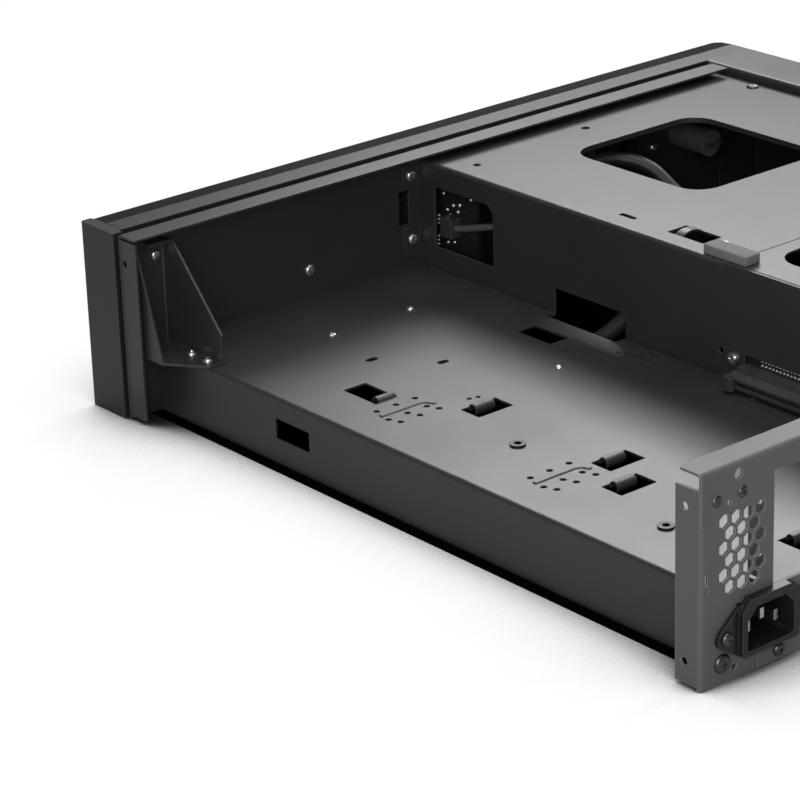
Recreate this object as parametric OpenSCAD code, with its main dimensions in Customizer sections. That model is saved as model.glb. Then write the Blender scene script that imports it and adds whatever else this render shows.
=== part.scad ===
// Slim computer case of folded steel sheet, lying with its covers off and its card bay open.
// Sizes are in millimetres. Inside the modules x runs across from the card side, y runs
// from the rear plate to the front, and z runs up. The part's own origin is the middle of
// its footprint, with the front panel facing -Y.

/* [Case] */
// Width across the two sides
case_w = 380; // [370:1:400]
// Depth from the rear plate to the face of the front panel
case_d = 368; // [364:1:390]
// Height of the rim above the underside
case_h = 83; // [80:0.5:90]
// Thickness of the steel sheet
sheet = 1; // [0.8:0.1:1.2]
// Inside radius of each fold
fold_r = 0.8; // [0.4:0.1:1.2]

/* [Card bay] */
// How far the bay floor's edge stands in from the side
bay_inset = 16.3; // [14:0.1:18]
// Width of the card bay up to the divider wall
bay_w = 146.7; // [143:0.1:150]
// Height of the bay floor above the underside
floor_top = 30; // [29.6:0.1:30.4]
// Depth of the steps that stiffen the floor's lower edge
skirt_lip = 10; // [6:0.5:10.5]
// Length of one lanced hook in the floor
hook_w = 10; // [7:0.5:10.5]
// Outer radius of one lanced hook
hook_r = 2.5; // [2.2:0.1:3]
// Radius of the small screw holes in the floor
dot_r = 1.35; // [1:0.05:1.6]
// Width of the corner gusset
gusset_w = 19.5; // [18:0.5:22]
// Depth of the corner gusset
gusset_d = 39.2; // [36:0.1:44]
// Height of the corner gusset
gusset_h = 47.3; // [44:0.1:49]

/* [Deck] */
// How far the deck lies below the rim
deck_drop = 4.2; // [3.6:0.1:5]
// Distance from the rear plate to the seam between the board tray and the deck
seam_y = 148.8; // [147:0.1:151]
// Gap at that seam
seam_gap = 0.5; // [0.3:0.1:0.8]
// Width of the round-cornered window in the deck
deck_window_w = 78.5; // [70:0.5:84]
// Length of that window
deck_window_d = 81; // [74:0.5:84]
// Corner radius of the windows
window_r = 12; // [6:0.5:14]
// Height of the rubber pad on the deck
pad_h = 4.2; // [3.6:0.1:4.2]

/* [Front] */
// Depth of the front bar
bar_d = 21.2; // [20:0.1:23]
// Gap behind the front bar
groove = 3.8; // [3.2:0.1:4.4]
// Depth of the lips on the front wall
wall_lip = 12; // [10:0.5:13]
// Wall of the moulded front bar
bar_wall = 2.5; // [2:0.1:3]
// Width of the end cap
cap_w = 6; // [5:0.5:8]
// Radius of the power button
button_r = 6; // [5:0.1:6.4]
// Travel of the power button
button_travel = 1.2; // [0.8:0.1:1.6]
// Radius of the reset button
reset_r = 2; // [1.6:0.1:2.4]

/* [Side rail] */
// Width of the rail's top
rail_w = 30; // [28:0.5:32]
// Width of the ledge that carries the deck
ledge_w = 9; // [8:0.1:9.1]

/* [Rear] */
// Depth of the rear plate's side lip
rear_lip = 12.5; // [11:0.1:14]
// Depth of the rear plate's top lip
rear_top_lip = 11.2; // [10:0.1:12]
// Distance between two vent holes
vent_pitch = 5.95; // [5.8:0.05:6.1]
// Width of a vent hole across its corners
vent_w = 5.4; // [5:0.1:5.6]
// Width of the opening for the card's bracket
card_w = 116.2; // [114:0.1:120]
// Height of the opening for the card's bracket
card_h = 44; // [42:0.5:44.5]
// Width of the opening for the board's ports
ports_w = 158.75; // [156:0.25:160]
// Height of the opening for the board's ports
ports_h = 44.45; // [43:0.05:44.6]

/* [Mains inlet] */
// Distance from the inlet's middle to one ear screw
ear_pitch = 20; // [19.8:0.1:20.2]
// Width of the inlet's collar
collar_w = 28.6; // [28.2:0.1:29]
// Height of the inlet's collar
collar_h = 21.8; // [21:0.1:22.4]
// How far the collar stands out of the plate
inlet_proud = 3.7; // [3:0.1:4.5]
// Width of the recess for the plug
recess_w = 23.4; // [23.2:0.1:24]
// Height of the recess for the plug
recess_h = 16.6; // [16.2:0.1:17]
// Outer diameter of the mains lead
lead_d = 7; // [6.4:0.1:7.4]

/* [Riser] */
// Length of the card slot
slot_len = 89; // [87:0.5:91]
// Thickness of the slot's housing
slot_t = 7.8; // [7.4:0.1:8]
// Reach of the slot's housing from its board
slot_reach = 12.5; // [11.5:0.1:13]
// Width of the groove for the card's edge
slot_groove = 1.8; // [1.6:0.05:2]
// Thickness of the circuit boards
pcb_t = 1.6; // [1.5:0.05:1.7]
// Clearance between a screw and its hole
screw_gap = 0.15; // [0.1:0.01:0.2]

/* [Hidden] */

BLACK = [0.07, 0.07, 0.075];
SATIN = [0.32, 0.32, 0.33];
STEEL = [0.62, 0.62, 0.63];
RUBBER = [0.05, 0.05, 0.05];
BOARD = [0.03, 0.05, 0.04];
GOLD = [0.75, 0.6, 0.25];

eps = 0.01;
touch = 0.3;
fold_steps = 4;
round_fn = 32;

divider_x = bay_inset + bay_w;
wall_y = case_d - bar_d - groove - sheet;
lip_y = wall_y + sheet - wall_lip;
bar_y = case_d - bar_d;
rail_x = case_w - rail_w;
deck_top = case_h - deck_drop;
deck_under = deck_top - sheet;
floor_under = floor_top - sheet;
foot_w = 15;

// Screws of the case, by shank radius and head
screw_r = 1.5;
head_r = 2.8;
head_h = 1.5;
hole_r = screw_r + screw_gap;

function unit(v) = v / norm(v);
function left_of(v) = [-v[1], v[0]];
function cross_of(u, v) = u[0] * v[1] - u[1] * v[0];
function turn_of(u, v) = atan2(cross_of(u, v), u * v);
function spun(v, a) = [v[0] * cos(a) - v[1] * sin(a), v[0] * sin(a) + v[1] * cos(a)];
function reversed(list) = [for (i = [len(list) - 1 : -1 : 0]) list[i]];
function arc(centre, r, from, to, steps) =
    [for (k = [0 : steps]) let (a = from + (to - from) * k / steps) centre + r * [cos(a), sin(a)]];

// One face of a folded sheet, d to the left of the path along its other face
function fold_face(path, d) = let (n = len(path) - 1) concat(
    [path[0] + left_of(unit(path[1] - path[0])) * d],
    [for (i = [1 : n - 1])
        let (u = unit(path[i] - path[i - 1]), w = unit(path[i + 1] - path[i]))
        let (a = turn_of(u, w), c = a > 0 ? sheet + fold_r : -fold_r)
        let (centre = path[i] + (left_of(u) + left_of(w)) * c / (1 + u * w))
        for (k = [0 : fold_steps]) centre + spun(left_of(u), a * k / fold_steps) * (d - c)],
    [path[n] + left_of(unit(path[n] - path[n - 1])) * d]);

// Section of a sheet folded along a path, with its thickness to the left of the path
function fold_outline(path) = concat(fold_face(path, 0), reversed(fold_face(path, sheet)));

// A rectangle with rounded corners, from its low corner
module round_rect(w, d, r) {
    polygon(concat(
        arc([w - r, r], r, -90, 0, 6),
        arc([w - r, d - r], r, 0, 90, 6),
        arc([r, d - r], r, 90, 180, 6),
        arc([r, r], r, 180, 270, 6)));
}

// Draws a section in x and z along y
module along_y(from, to) {
    translate([0, to, 0]) rotate([90, 0, 0]) linear_extrude(to - from) children();
}

// Draws a section in y and z along x
module along_x(from, to) {
    translate([from, 0, 0]) rotate([90, 0, 90]) linear_extrude(to - from) children();
}

// Draws a section in x and y along z
module along_z(from, to) {
    translate([0, 0, from]) linear_extrude(to - from) children();
}

// Places a piece from the rear corner at the card side into the part's frame
module placed() {
    translate([case_w / 2, (case_d - inlet_proud) / 2, 0]) rotate([0, 0, 180]) children();
}

// A round peg that runs towards +y from a point
module peg_y(x, y, z, len, r, fn = 24) {
    translate([x, y, z]) rotate([-90, 0, 0]) cylinder(h = len, r = r, $fn = fn);
}

// A round peg that runs towards +x from a point
module peg_x(x, y, z, len, r, fn = 24) {
    translate([x, y, z]) rotate([0, 90, 0]) cylinder(h = len, r = r, $fn = fn);
}

// A round peg that runs towards +z from a point
module peg_z(x, y, z, len, r, fn = 24) {
    translate([x, y, z]) cylinder(h = len, r = r, $fn = fn);
}

// A pan-head screw with its seat at the origin, head towards +z and shank towards -z
module screw(shank, r = screw_r, head = head_r, rise = head_h) {
    difference() {
        union() {
            cylinder(h = rise * 0.55, r = head, $fn = round_fn);
            cylinder(h = rise, r = head * 0.72, $fn = round_fn);
            translate([0, 0, -shank]) cylinder(h = shank + eps, r = r, $fn = 24);
        }
        for (a = [0, 90])
            rotate([0, 0, a]) translate([-head * 0.55, -0.3, rise - 0.7]) cube([head * 1.1, 0.6, 1]);
    }
}

// Rear plate

inlet_x = 31.4;
inlet_z = 19.5;
recess_drop = 0.75;
card_x = 35.8;
ports_x = 186;
ports_z = deck_under - 6.3 - ports_h;
vent_x = 11.3;
vent_z = 62.3;
foot_slit_x = 27.7;
plate_screw_x = rail_x + rail_w / 2 + 1;

module vent_field() {
    for (row = [0 : 5]) {
        odd = row % 2;
        for (k = [0 : 3 - odd])
            translate([vent_x + (k + odd / 2) * vent_pitch, 0, vent_z - row * vent_pitch * sin(60)])
                rotate([-90, 0, 0]) rotate([0, 0, 30])
                    cylinder(h = 4 * sheet, r = vent_w / 2, center = true, $fn = 6);
    }
}

module plate_hole(x, z, r) {
    translate([x, -2, z]) rotate([-90, 0, 0]) cylinder(h = 4 + sheet, r = r, $fn = 24);
}

module lip_hole(y, z, r) {
    translate([-2, y, z]) rotate([0, 90, 0]) cylinder(h = 4 + sheet, r = r, $fn = 24);
}

module rear_plate() color(SATIN) placed() difference() {
    union() {
        // Plate with its side lip
        along_z(0, case_h - 4.5) polygon(fold_outline([[0, rear_lip], [0, 0], [case_w - 1.5, 0]]));
        // Top lip
        along_x(0, rail_x - 0.3)
            polygon(fold_outline([[rear_top_lip, case_h], [0, case_h], [0, case_h - 20]]));
        // Foot
        along_x(foot_slit_x + 0.5, rail_x - 0.3) polygon(fold_outline([[0, 20], [0, 0], [9, 0]]));
        // Plate behind the rail
        translate([rail_x - 1, 0, case_h - 10]) cube([rail_w - 0.5, sheet, 10]);
        // Ledge for the card bracket's screws
        translate([card_x - sheet, sheet / 2, floor_top + 1]) cube([sheet, 11, card_h - 2]);
    }
    // Relief where the side lip meets the top lip and the foot
    translate([-1, sheet + 0.3, case_h - 6.5]) cube([3, 20, 5]);
    translate([-1, 1.8, -1]) cube([3, 20, 2.4]);
    translate([-1, rear_top_lip - 2, case_h - 2]) rotate([0, 0, 45]) cube([6, 6, 4]);
    // Opening for the card's bracket
    translate([card_x, -2, floor_top]) cube([card_w, 4 + sheet, card_h]);
    // Opening for the board's ports
    translate([ports_x, -2, ports_z]) cube([ports_w, 2 + sheet, ports_h]);
    // Hole for the inlet's body
    translate([inlet_x - 13.9, -2, inlet_z - 10.3]) cube([27.8, 4 + sheet, 19.8]);
    for (side = [-1, 1]) plate_hole(inlet_x + side * ear_pitch, inlet_z - 1.7, hole_r);
    vent_field();
    plate_hole(18.2, 78.2, 2);
    plate_hole(20, 70.9, hole_r);
    plate_hole(7.5, 70.9, hole_r);
    plate_hole(13.7, 68.6, 0.9);
    translate([2.1, -2, 40.3]) cube([1.2, 4 + sheet, 4.2]);
    plate_hole(3, 38.2, 0.7);
    plate_hole(10.6, 8.1, hole_r);
    plate_hole(16.6, 4.8, 1.2);
    plate_hole(38.8, 4, hole_r);
    for (x = [60, 140]) plate_hole(x, 20, hole_r);
    translate([foot_slit_x - 0.5, -1, -1]) cube([1, 20, 4.1]);
    for (z = [9.8, 69.2]) lip_hole(8, z, 1.6);
    for (z = [12, 70]) plate_hole(plate_screw_x, z, hole_r);
    for (dz = [11, 31]) peg_x(card_x - 3, 6.5, floor_top + dz, 6, 1.6);
}

// Bay floor

cut_w = 18.4;
cut_d = 11.2;
floor_y = sheet;
pass_y = 207.5;
pass_len = 44;
pass_h = 12.1;
pass_w = 6;

function floor_cuts() = [
    // low x, low y, width, depth, place of the hook along x, whether it stands on the front edge
    [62, 186, cut_w, cut_d, 4.2, true],
    [63, 111.2, cut_w, cut_d, 4.2, true],
    [50.4, 92, cut_w, cut_d, 4.2, true],
    [63.6, 13.4, cut_w, cut_d, 4.2, true],
    [41.2, 225.4, 11.6, 20.8, 2, false]];

module hook(w) {
    // A lanced tab that rises from the cut's rear edge and rolls over
    centre = [hook_r, -0.7];
    inner = hook_r - sheet * 0.8;
    along_x(0, w) polygon(concat(arc(centre, hook_r, 200, -40, 12), arc(centre, inner, -40, 200, 12)));
    translate([0, -0.6, -sheet]) cube([w, 1.2, sheet]);
}

module bead(points) {
    // A raised bead pressed along a row of points
    for (i = [0 : len(points) - 2]) {
        step = points[i + 1] - points[i];
        translate([points[i][0], points[i][1], floor_top])
            rotate([0, 0, atan2(step[1], step[0])])
            along_x(-0.4, norm(step) + 0.4) polygon([[-1.3, -0.2], [1.3, -0.2], [1.3, 0.1],
                [0.7, 0.55], [-0.7, 0.55], [-1.3, 0.1]]);
    }
}

module floor_hole(x, y, r) {
    translate([x, y, floor_under - 2]) cylinder(h = 6 + sheet, r = r, $fn = 24);
}

module screw_field(x, y) {
    // Nine screw holes around a stiffening bead
    for (k = [0 : 2]) {
        floor_hole(x - 10 * k, y, dot_r);
        floor_hole(x - 2.1 - 10 * k, y - 9.8, dot_r);
        floor_hole(x - 10 * k, y - 14.9, dot_r);
    }
}

floor_screw_at = [[77, wall_y - 44], [121, 203.3], [120.8, wall_y - 43.7]];
floor_nut_at = [[54.7, 154.9], [42.9, 60.7]];
nut_r = 2.2;

module bay_floor() color(BLACK) placed() difference() {
    union() {
        // Floor, skirt and the skirt's lip
        along_y(floor_y, wall_y) polygon(fold_outline([[divider_x - fold_r - 0.1, floor_top],
            [bay_inset, floor_top], [bay_inset, 0], [bay_inset + sheet + skirt_lip, 0]]));
        // Flanges onto the front wall and the rear plate
        translate([30, wall_y - sheet, floor_top - 14]) cube([114, sheet, 13.5]);
        translate([56, floor_y, floor_top - 13]) cube([90, sheet, 12.5]);
        bead([[34.9, 214], [55, 214], [57.6, 212.6], [58.8, 209.6]]);
        bead([[35, 123], [55.4, 123], [58, 121.6], [59.2, 118.6]]);
    }
    for (c = floor_cuts()) translate([c[0], c[1], floor_under - 1]) cube([c[2], c[3], 2 + sheet]);
    translate([136, 225, floor_under - 1]) cube([10.6, 21, 2 + sheet]);
    // Corner where the leads pass the divider
    translate([divider_x - pass_w, pass_y, floor_under - 1]) cube([pass_w + 1, pass_len, 2 + sheet]);
    screw_field(56.8, 219.4);
    screw_field(56.9, 128);
    for (p = floor_screw_at) floor_hole(p[0], p[1], hole_r);
    for (p = floor_nut_at) floor_hole(p[0], p[1], nut_r + 0.1);
    for (p = [[72.1, 203.5], [75.9, 202.5], [149.4, 265.3], [136.9, 216], [149.5, 198]])
        floor_hole(p[0], p[1], 1.1);
    floor_hole(152.3, 123.5, 1.6);
    // Long holes
    for (p = [[90.6, 241.3, 5.4], [71.3, 264.3, 6]])
        translate([p[0] - p[2] / 2, p[1] - 1.6, floor_under - 1])
            along_z(0, 2 + sheet) round_rect(p[2], 3.2, 1.5);
    // Vent slots beside the divider
    for (k = [0 : 4]) translate([150.6, 182.4 + 3 * k, floor_under - 1]) cube([5, 1.4, 2 + sheet]);
    // Notch in the skirt
    translate([bay_inset - 1, 238, 12]) cube([2 + sheet, 22, 9]);
    for (x = [60, 140]) peg_y(x, -1, 20, 6, hole_r);
    for (p = gusset_screw_at) floor_hole(p[0], p[1], hole_r);
}

module floor_hooks() {
    for (c = floor_cuts())
        translate([c[0] + c[4], c[5] ? c[1] + c[3] : c[1], floor_top]) mirror([0, c[5] ? 1 : 0, 0])
            hook(min(hook_w, c[2] - c[4] - 0.6));
}

module bay_floor_all() {
    bay_floor();
    color(BLACK) placed() floor_hooks();
}

// Divider wall and deck

flange_w = 9.5;
divider_screw_at = [[divider_x - 4, 71.6], [divider_x - 4, 41.6]];
flange_slot_z = 49;
flange_slot_h = 16;
window_x = 216.5;
window_y = 218.4;
tie_x = divider_x + 9.9;
tie_y = 172;
tie_w = 11;
tie_d = 20.8;
deck_end = rail_x - fold_r - 0.1;
deck_screw_at = [[rail_x - 6, 180], [rail_x - 6, wall_y - 32], [rail_x - 6, 120], [rail_x - 6, 30]];

module deck_cut(x, y, w, d, r) {
    translate([x, y, deck_under - 3]) along_z(0, 5 + sheet) round_rect(w, d, r);
}

module wall_cut(y, z, len, h) {
    translate([divider_x - 2, y, z]) cube([4 + sheet, len, h]);
}

module divider_deck() color(BLACK) placed() difference() {
    union() {
        // Foot, wall and deck in one fold
        along_y(seam_y + seam_gap / 2, wall_y) polygon(fold_outline([
            [divider_x - foot_w, floor_under - sheet], [divider_x + sheet, floor_under - sheet],
            [divider_x + sheet, deck_under], [deck_end, deck_under]]));
        // The wall alone, behind the seam
        along_y(sheet, seam_y + 1) polygon(fold_outline([[divider_x - foot_w, floor_under - sheet],
            [divider_x + sheet, floor_under - sheet], [divider_x + sheet, deck_top]]));
        // Two rounded tabs onto the front wall
        for (z = [[floor_top + 3.5, flange_slot_z - 0.6],
            [flange_slot_z + flange_slot_h + 0.6, deck_under - 0.5]])
            translate([divider_x + sheet / 2 - flange_w, wall_y, z[0]]) rotate([90, 0, 0])
                linear_extrude(sheet) round_rect(flange_w + 3, z[1] - z[0], 2.5);
        // Flange onto the rear plate
        translate([divider_x + sheet / 2, sheet, floor_top + 4])
            cube([12, sheet, deck_under - floor_top - 8]);
        // Turned-down rim of the deck's window
        translate([window_x - sheet, window_y - sheet, deck_under - 1.4])
            along_z(0, 1.5)
                round_rect(deck_window_w + 2 * sheet, deck_window_d + 2 * sheet, window_r + sheet);
        // Strap for tying the leads
        tie_bridge();
    }
    // The tabs end at the outer face of the wall
    translate([divider_x + sheet, wall_y - sheet - eps, floor_top])
        cube([8, sheet + 0.1, deck_under - floor_top - sheet]);
    // Window near the front wall
    translate([divider_x - 2, 0, 0]) along_x(0, 4 + sheet) polygon([[wall_y - 51, floor_top + 10],
        [wall_y - 12, floor_top + 10], [wall_y - 12, deck_under - 9.6], [wall_y - 47.5, deck_under - 9.6],
        [wall_y - 51, deck_under - 13]]);
    // Passage for the leads at the foot
    translate([divider_x - pass_w, pass_y, floor_under - 2 * sheet])
        cube([pass_w + 1 + sheet, pass_len, pass_h + 2 * sheet]);
    // Opening for the riser's slot
    wall_cut(riser_cut_y, floor_under, riser_cut_end - riser_cut_y, 42.3 - floor_under);
    deck_cut(window_x, window_y, deck_window_w, deck_window_d, window_r);
    difference() {
        translate([tie_x, tie_y, deck_under - 2]) cube([tie_w, tie_d, 4 + sheet]);
        tie_bridge();
    }
    peg_z(divider_x + 12.5, wall_y - 27, deck_under - 1, 2 + sheet, 1.8);
    peg_z(245.7, wall_y - 22, deck_under - 1, 2 + sheet, 2);
    deck_cut(divider_x + 10.6, 213.5, 2.6, 9.6, 1.2);
    for (p = riser_screw_at) peg_x(divider_x - 2, p[0], p[1], 4 + sheet, hole_r);
    for (p = divider_screw_at) peg_y(p[0], wall_y - 3, p[1], 6, hole_r);
    for (p = deck_screw_at) peg_z(p[0], p[1], deck_under - 2, 4 + sheet, hole_r);
    for (p = standoff_at) peg_z(p[0], p[1], deck_under - 1, 2 + sheet, 1.9);
    peg_x(divider_x - 2, 151.5, 40.5, 4 + sheet, 1.4);
}

// A strap that arches across the tie cutout
module tie_bridge() {
    middle = [tie_w / 2 + 1, -9];
    translate([tie_x - 1, 0, deck_under]) along_y(tie_y + 11.8, tie_y + 16.2) polygon(concat(
        [[0, 0]], arc(middle, 10.6, 122, 58, 8), [[tie_w + 2, 0], [tie_w + 2, sheet]],
        arc(middle, 10.6 + sheet, 60, 120, 8), [[0, sheet]]));
}

// Board tray

tray_window = [divider_x + 17.6, 46, rail_x - divider_x - 79, 94.5];
board_x = divider_x + 11;
board_y = 2.2;
standoff_h = 6.3;
standoff_x = [board_x + 6.35, rail_x - 12.17];
standoff_at = [[standoff_x[0], board_y + 165.1], [standoff_x[1], board_y + 165.1],
    [standoff_x[0], board_y + 10.16], [standoff_x[1], board_y + 33.02]];

module board_tray() color(BLACK) placed() difference() {
    union() {
        along_y(sheet, seam_y - seam_gap / 2) polygon(fold_outline([[deck_end, deck_top],
            [divider_x + sheet, deck_top], [divider_x + sheet, deck_under - 6]]));
    }
    deck_cut(tray_window[0], tray_window[1], tray_window[2], tray_window[3], window_r);
    for (p = standoff_at) peg_z(p[0], p[1], deck_under - 1, 2 + sheet, 1.9);
    for (p = deck_screw_at) peg_z(p[0], p[1], deck_under - 2, 4 + sheet, hole_r);
    // Clear of the divider's rear flange
    translate([divider_x, 0, deck_under - 10]) cube([14, 2.5 + sheet, 9.5]);
}

module board_standoffs() color(STEEL) placed() {
    for (p = standoff_at) translate([p[0], p[1], deck_under - standoff_h]) difference() {
        union() {
            cylinder(h = standoff_h, r = 3, $fn = 6);
            cylinder(h = standoff_h + sheet, r = 1.8, $fn = 24);
        }
        translate([0, 0, -1]) cylinder(h = standoff_h, r = 1.25, $fn = 24);
    }
}

// Front wall

io_x = divider_x + sheet + 8;
io_z = 20;
io_h = 52;
io_reach = 30.5;
switch_x = rail_x - 23.5;
switch_z = 53;
switch_r = 6.5;
switch_len = 22;
reset_x = rail_x - 59;
lens_x = rail_x - 75;
front_screw_at = [[divider_x - 62.3, 41.7], [rail_x - 21, 70], [rail_x - 39.7, 49.3], [rail_x - 110, 20]];
rail_screw_at = [[rail_x + 12, 14], [rail_x + 12, 70]];

module wall_hole(x, z, r) {
    translate([x, wall_y - 1, z]) rotate([-90, 0, 0]) cylinder(h = 2 + sheet, r = r, $fn = 32);
}

module front_wall() color(BLACK) placed() difference() {
    union() {
        along_x(bay_lip_x, rail_x - 1.5)
            polygon(fold_outline([[wall_y + sheet, 0], [wall_y + sheet, case_h], [lip_y, case_h]]));
        // Lip at the foot, under the deck
        along_x(divider_x + 5, rail_x - 1.5)
            polygon(fold_outline([[lip_y, 0], [wall_y + sheet, 0], [wall_y + sheet, 20]]));
        // Left end lip
        along_z(2, case_h - 2) polygon(fold_outline([[bay_lip_x + 12, wall_y + sheet],
            [bay_lip_x, wall_y + sheet], [bay_lip_x, lip_y]]));
        // Wall behind the rail
        translate([rail_x - 2, wall_y, 2]) cube([rail_w, sheet, case_h - 5]);
        // Tab that carries the port board
        translate([io_x + pcb_t, wall_y - 9, io_z + 1]) cube([sheet, 9 + sheet / 2, 4]);
        translate([io_x + pcb_t, wall_y - 9, io_z + io_h - 5]) cube([sheet, 9 + sheet / 2, 4]);
    }
    // Cable slot between the divider's tabs
    translate([divider_x - 10.8, wall_y - 1, flange_slot_z]) cube([5.8, 2 + sheet, flange_slot_h]);
    // Window for the port board
    translate([io_x - 1.5, wall_y - 1, io_z + 6]) cube([16, 2 + sheet, io_h - 12]);
    translate([io_x - 0.4, wall_y - 1, io_z - 0.5]) cube([0.4 + pcb_t, 2 + sheet, io_h + 1]);
    wall_hole(switch_x, switch_z, 5.2);
    wall_hole(reset_x, switch_z, 3.1);
    wall_hole(lens_x, switch_z, 1.7);
    for (p = concat(front_screw_at, rail_screw_at)) wall_hole(p[0], p[1], hole_r);
    for (p = divider_screw_at) wall_hole(p[0], p[1], hole_r);
    for (p = gusset_wall_at) wall_hole(p[0], p[1], hole_r);
    peg_x(bay_lip_x - 1, wall_y - 3, case_h - 12.2, 2 + sheet, 1.5);
}

// Front panel

bay_lip_x = 1.5;
bar_x = cap_w;
bar_end = case_w - 1.5;
chamfer_d = 5;
chamfer_h = 1.7;
post_r = 3.4;
usb_w = 5.7;
usb_h = 13.1;
usb_z = [io_z + 19.6, io_z + 36.4];
port_x = io_x + pcb_t;
guide_len = 9;
guide_y = case_d - guide_len;
nose_len = 3;
collar_t = 1.4;

module front_panel() color(BLACK) placed() difference() {
    union() {
        difference() {
            along_x(bar_x, bar_end) polygon([[bar_y, 0], [case_d - chamfer_d, 0], [case_d, chamfer_h],
                [case_d, case_h - chamfer_h], [case_d - chamfer_d, case_h], [bar_y, case_h]]);
            translate([bar_x + bar_wall, bar_y - 1, bar_wall])
                cube([bar_end - bar_x - 2 * bar_wall, bar_d + 1 - bar_wall, case_h - 2 * bar_wall]);
        }
        // Posts that stand on the front wall
        for (p = concat(front_screw_at, rail_screw_at))
            peg_y(p[0], wall_y + sheet, p[1], case_d - wall_y - sheet - bar_wall / 2, post_r);
        // Guide tubes of the two buttons
        peg_y(switch_x, guide_y, switch_z, guide_len - bar_wall / 2, button_r + 1.8, 48);
        peg_y(reset_x, guide_y, switch_z, guide_len - bar_wall / 2, reset_r + 1.6, 32);
    }
    // Bevelled front corner
    translate([bar_end - 4, case_d + 1, -1]) rotate([0, 0, -45]) cube([12, 12, case_h + 2]);
    for (p = concat(front_screw_at, rail_screw_at)) peg_y(p[0], wall_y, p[1], 12, screw_r);
    peg_y(switch_x, case_d - 12, switch_z, 20, button_r + touch, 48);
    peg_y(reset_x, case_d - 12, switch_z, 20, reset_r + touch, 32);
    peg_y(lens_x, case_d - 6, switch_z, 12, 1.5);
    for (z = usb_z) translate([port_x - 0.2, case_d - 8, z - 0.2]) cube([usb_w + 0.4, 12, usb_h + 0.4]);
    for (z = jack_z) peg_y(jack_x, case_d - 8, z, 12, 3.2, 32);
}

module end_cap() color(BLACK) placed() {
    cap_y = bar_y - 2.5;
    along_z(0, case_h) polygon([[0, cap_y], [cap_w - 1.2, cap_y], [cap_w - 1.2, bar_y], [cap_w, bar_y],
        [cap_w, case_d - chamfer_d], [cap_w - 0.6, case_d], [1.4, case_d], [0.4, case_d - 0.4],
        [0, case_d - 1.4]]);
}

// Side rail

module side_rail() color(BLACK) placed() difference() {
    union() {
        along_y(sheet, bar_y) polygon(fold_outline([[case_w - 14, 0], [case_w, 0], [case_w, case_h],
            [rail_x, case_h], [rail_x, deck_under], [rail_x - ledge_w, deck_under]]));
        translate([rail_x + 4, sheet, 5]) cube([rail_w - 4.5, sheet, case_h - 12]);
        translate([rail_x + 4, wall_y - sheet, 5]) cube([rail_w - 4.5, sheet, case_h - 12]);
    }
    // The lip and the ledge end at the front wall
    translate([rail_x - ledge_w - 1, wall_y, deck_under - 3])
        cube([ledge_w + 3, 40, case_h - deck_under + 3 - sheet - 0.2]);
    for (p = deck_screw_at) peg_z(p[0], p[1], deck_under - 3, 6, hole_r);
    for (z = [12, 70]) peg_y(plate_screw_x, -1, z, 6, hole_r);
    for (p = rail_screw_at) peg_y(p[0], wall_y - 3, p[1], 4, hole_r);
}

// Corner gusset

gusset_x = bay_lip_x + sheet + 1.5;
gusset_end = gusset_x + gusset_w;
gusset_y = wall_y - gusset_d;
gusset_z = floor_top;
gusset_top = gusset_z + gusset_h;
gusset_low_y = wall_y - 22.5;
gusset_ear = 7.5;
gusset_wall_at = [[gusset_end - 5, gusset_z + 40]];
gusset_screw_at = [[gusset_end - 4.2, gusset_y + 6], [gusset_end - 4.4, gusset_y + 17]];

module corner_gusset() color(BLACK) placed() difference() {
    union() {
        // Back with a flange folded off each side, each flange with its sloping edge
        difference() {
            along_z(gusset_z, gusset_top) polygon(fold_outline([[gusset_end, gusset_y], [gusset_end, wall_y],
                [gusset_x, wall_y], [gusset_x, gusset_low_y]]));
            along_x(gusset_x - 1, gusset_x + 3) polygon([[gusset_low_y - 1, gusset_z - 1],
                [gusset_low_y - 0.3, gusset_z - 1], [wall_y - gusset_ear, gusset_top + 0.1],
                [gusset_low_y - 1, gusset_top + 0.1]]);
            along_x(gusset_end - 4, gusset_end + 1) polygon([[gusset_y - 1, gusset_z + 13],
                [gusset_y, gusset_z + 13], [wall_y - gusset_ear, gusset_top + 0.1],
                [gusset_y - 1, gusset_top + 0.1]]);
        }
        // Foot on the floor
        along_z(gusset_z, gusset_z + sheet) polygon([[gusset_x + 0.5, wall_y - 0.5],
            [gusset_x + 0.5, gusset_low_y + 0.4], [gusset_end - 7.1, gusset_y + 0.5],
            [gusset_end - 0.5, gusset_y + 0.5], [gusset_end - 0.5, wall_y - 0.5]]);
        // Short lip at the top and a small hook below it
        translate([gusset_x + 8, wall_y - gusset_ear + 0.8, gusset_top - sheet])
            cube([gusset_end - gusset_x - 8.5, gusset_ear - 1.3, sheet]);
        translate([gusset_x + 9, wall_y - 3, gusset_top - 5.6]) cube([2.4, 2.6, 0.9]);
        translate([gusset_x + 9, wall_y - 3, gusset_top - 5.6]) cube([0.9, 0.9, 2.6]);
    }
    for (p = gusset_wall_at) peg_y(p[0], wall_y - 3, p[1], 6, hole_r);
    for (p = gusset_screw_at) peg_z(p[0], p[1], gusset_z - 1, 4, hole_r);
}

// Riser

slot_y = 45.6;
slot_z = floor_top + 0.5;
pcb_x = divider_x + sheet + 0.5;
slot_x = pcb_x - slot_reach;
slot_end = slot_y + slot_len;
latch_x = pcb_x - 4.2;
latch_y = slot_end + 1.75;
latch_r = 1.4;
ear_y = latch_y + 1.55;
riser_cut_y = 28;
riser_cut_end = ear_y + touch;
riser_screw_at = [[slot_end + 9.9, 39], [slot_y - 12.6, 46]];
riser_top = deck_under - 8.3;
riser_shoulder = riser_top - 7.5;
riser_key = slot_y + 12.9;

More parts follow.
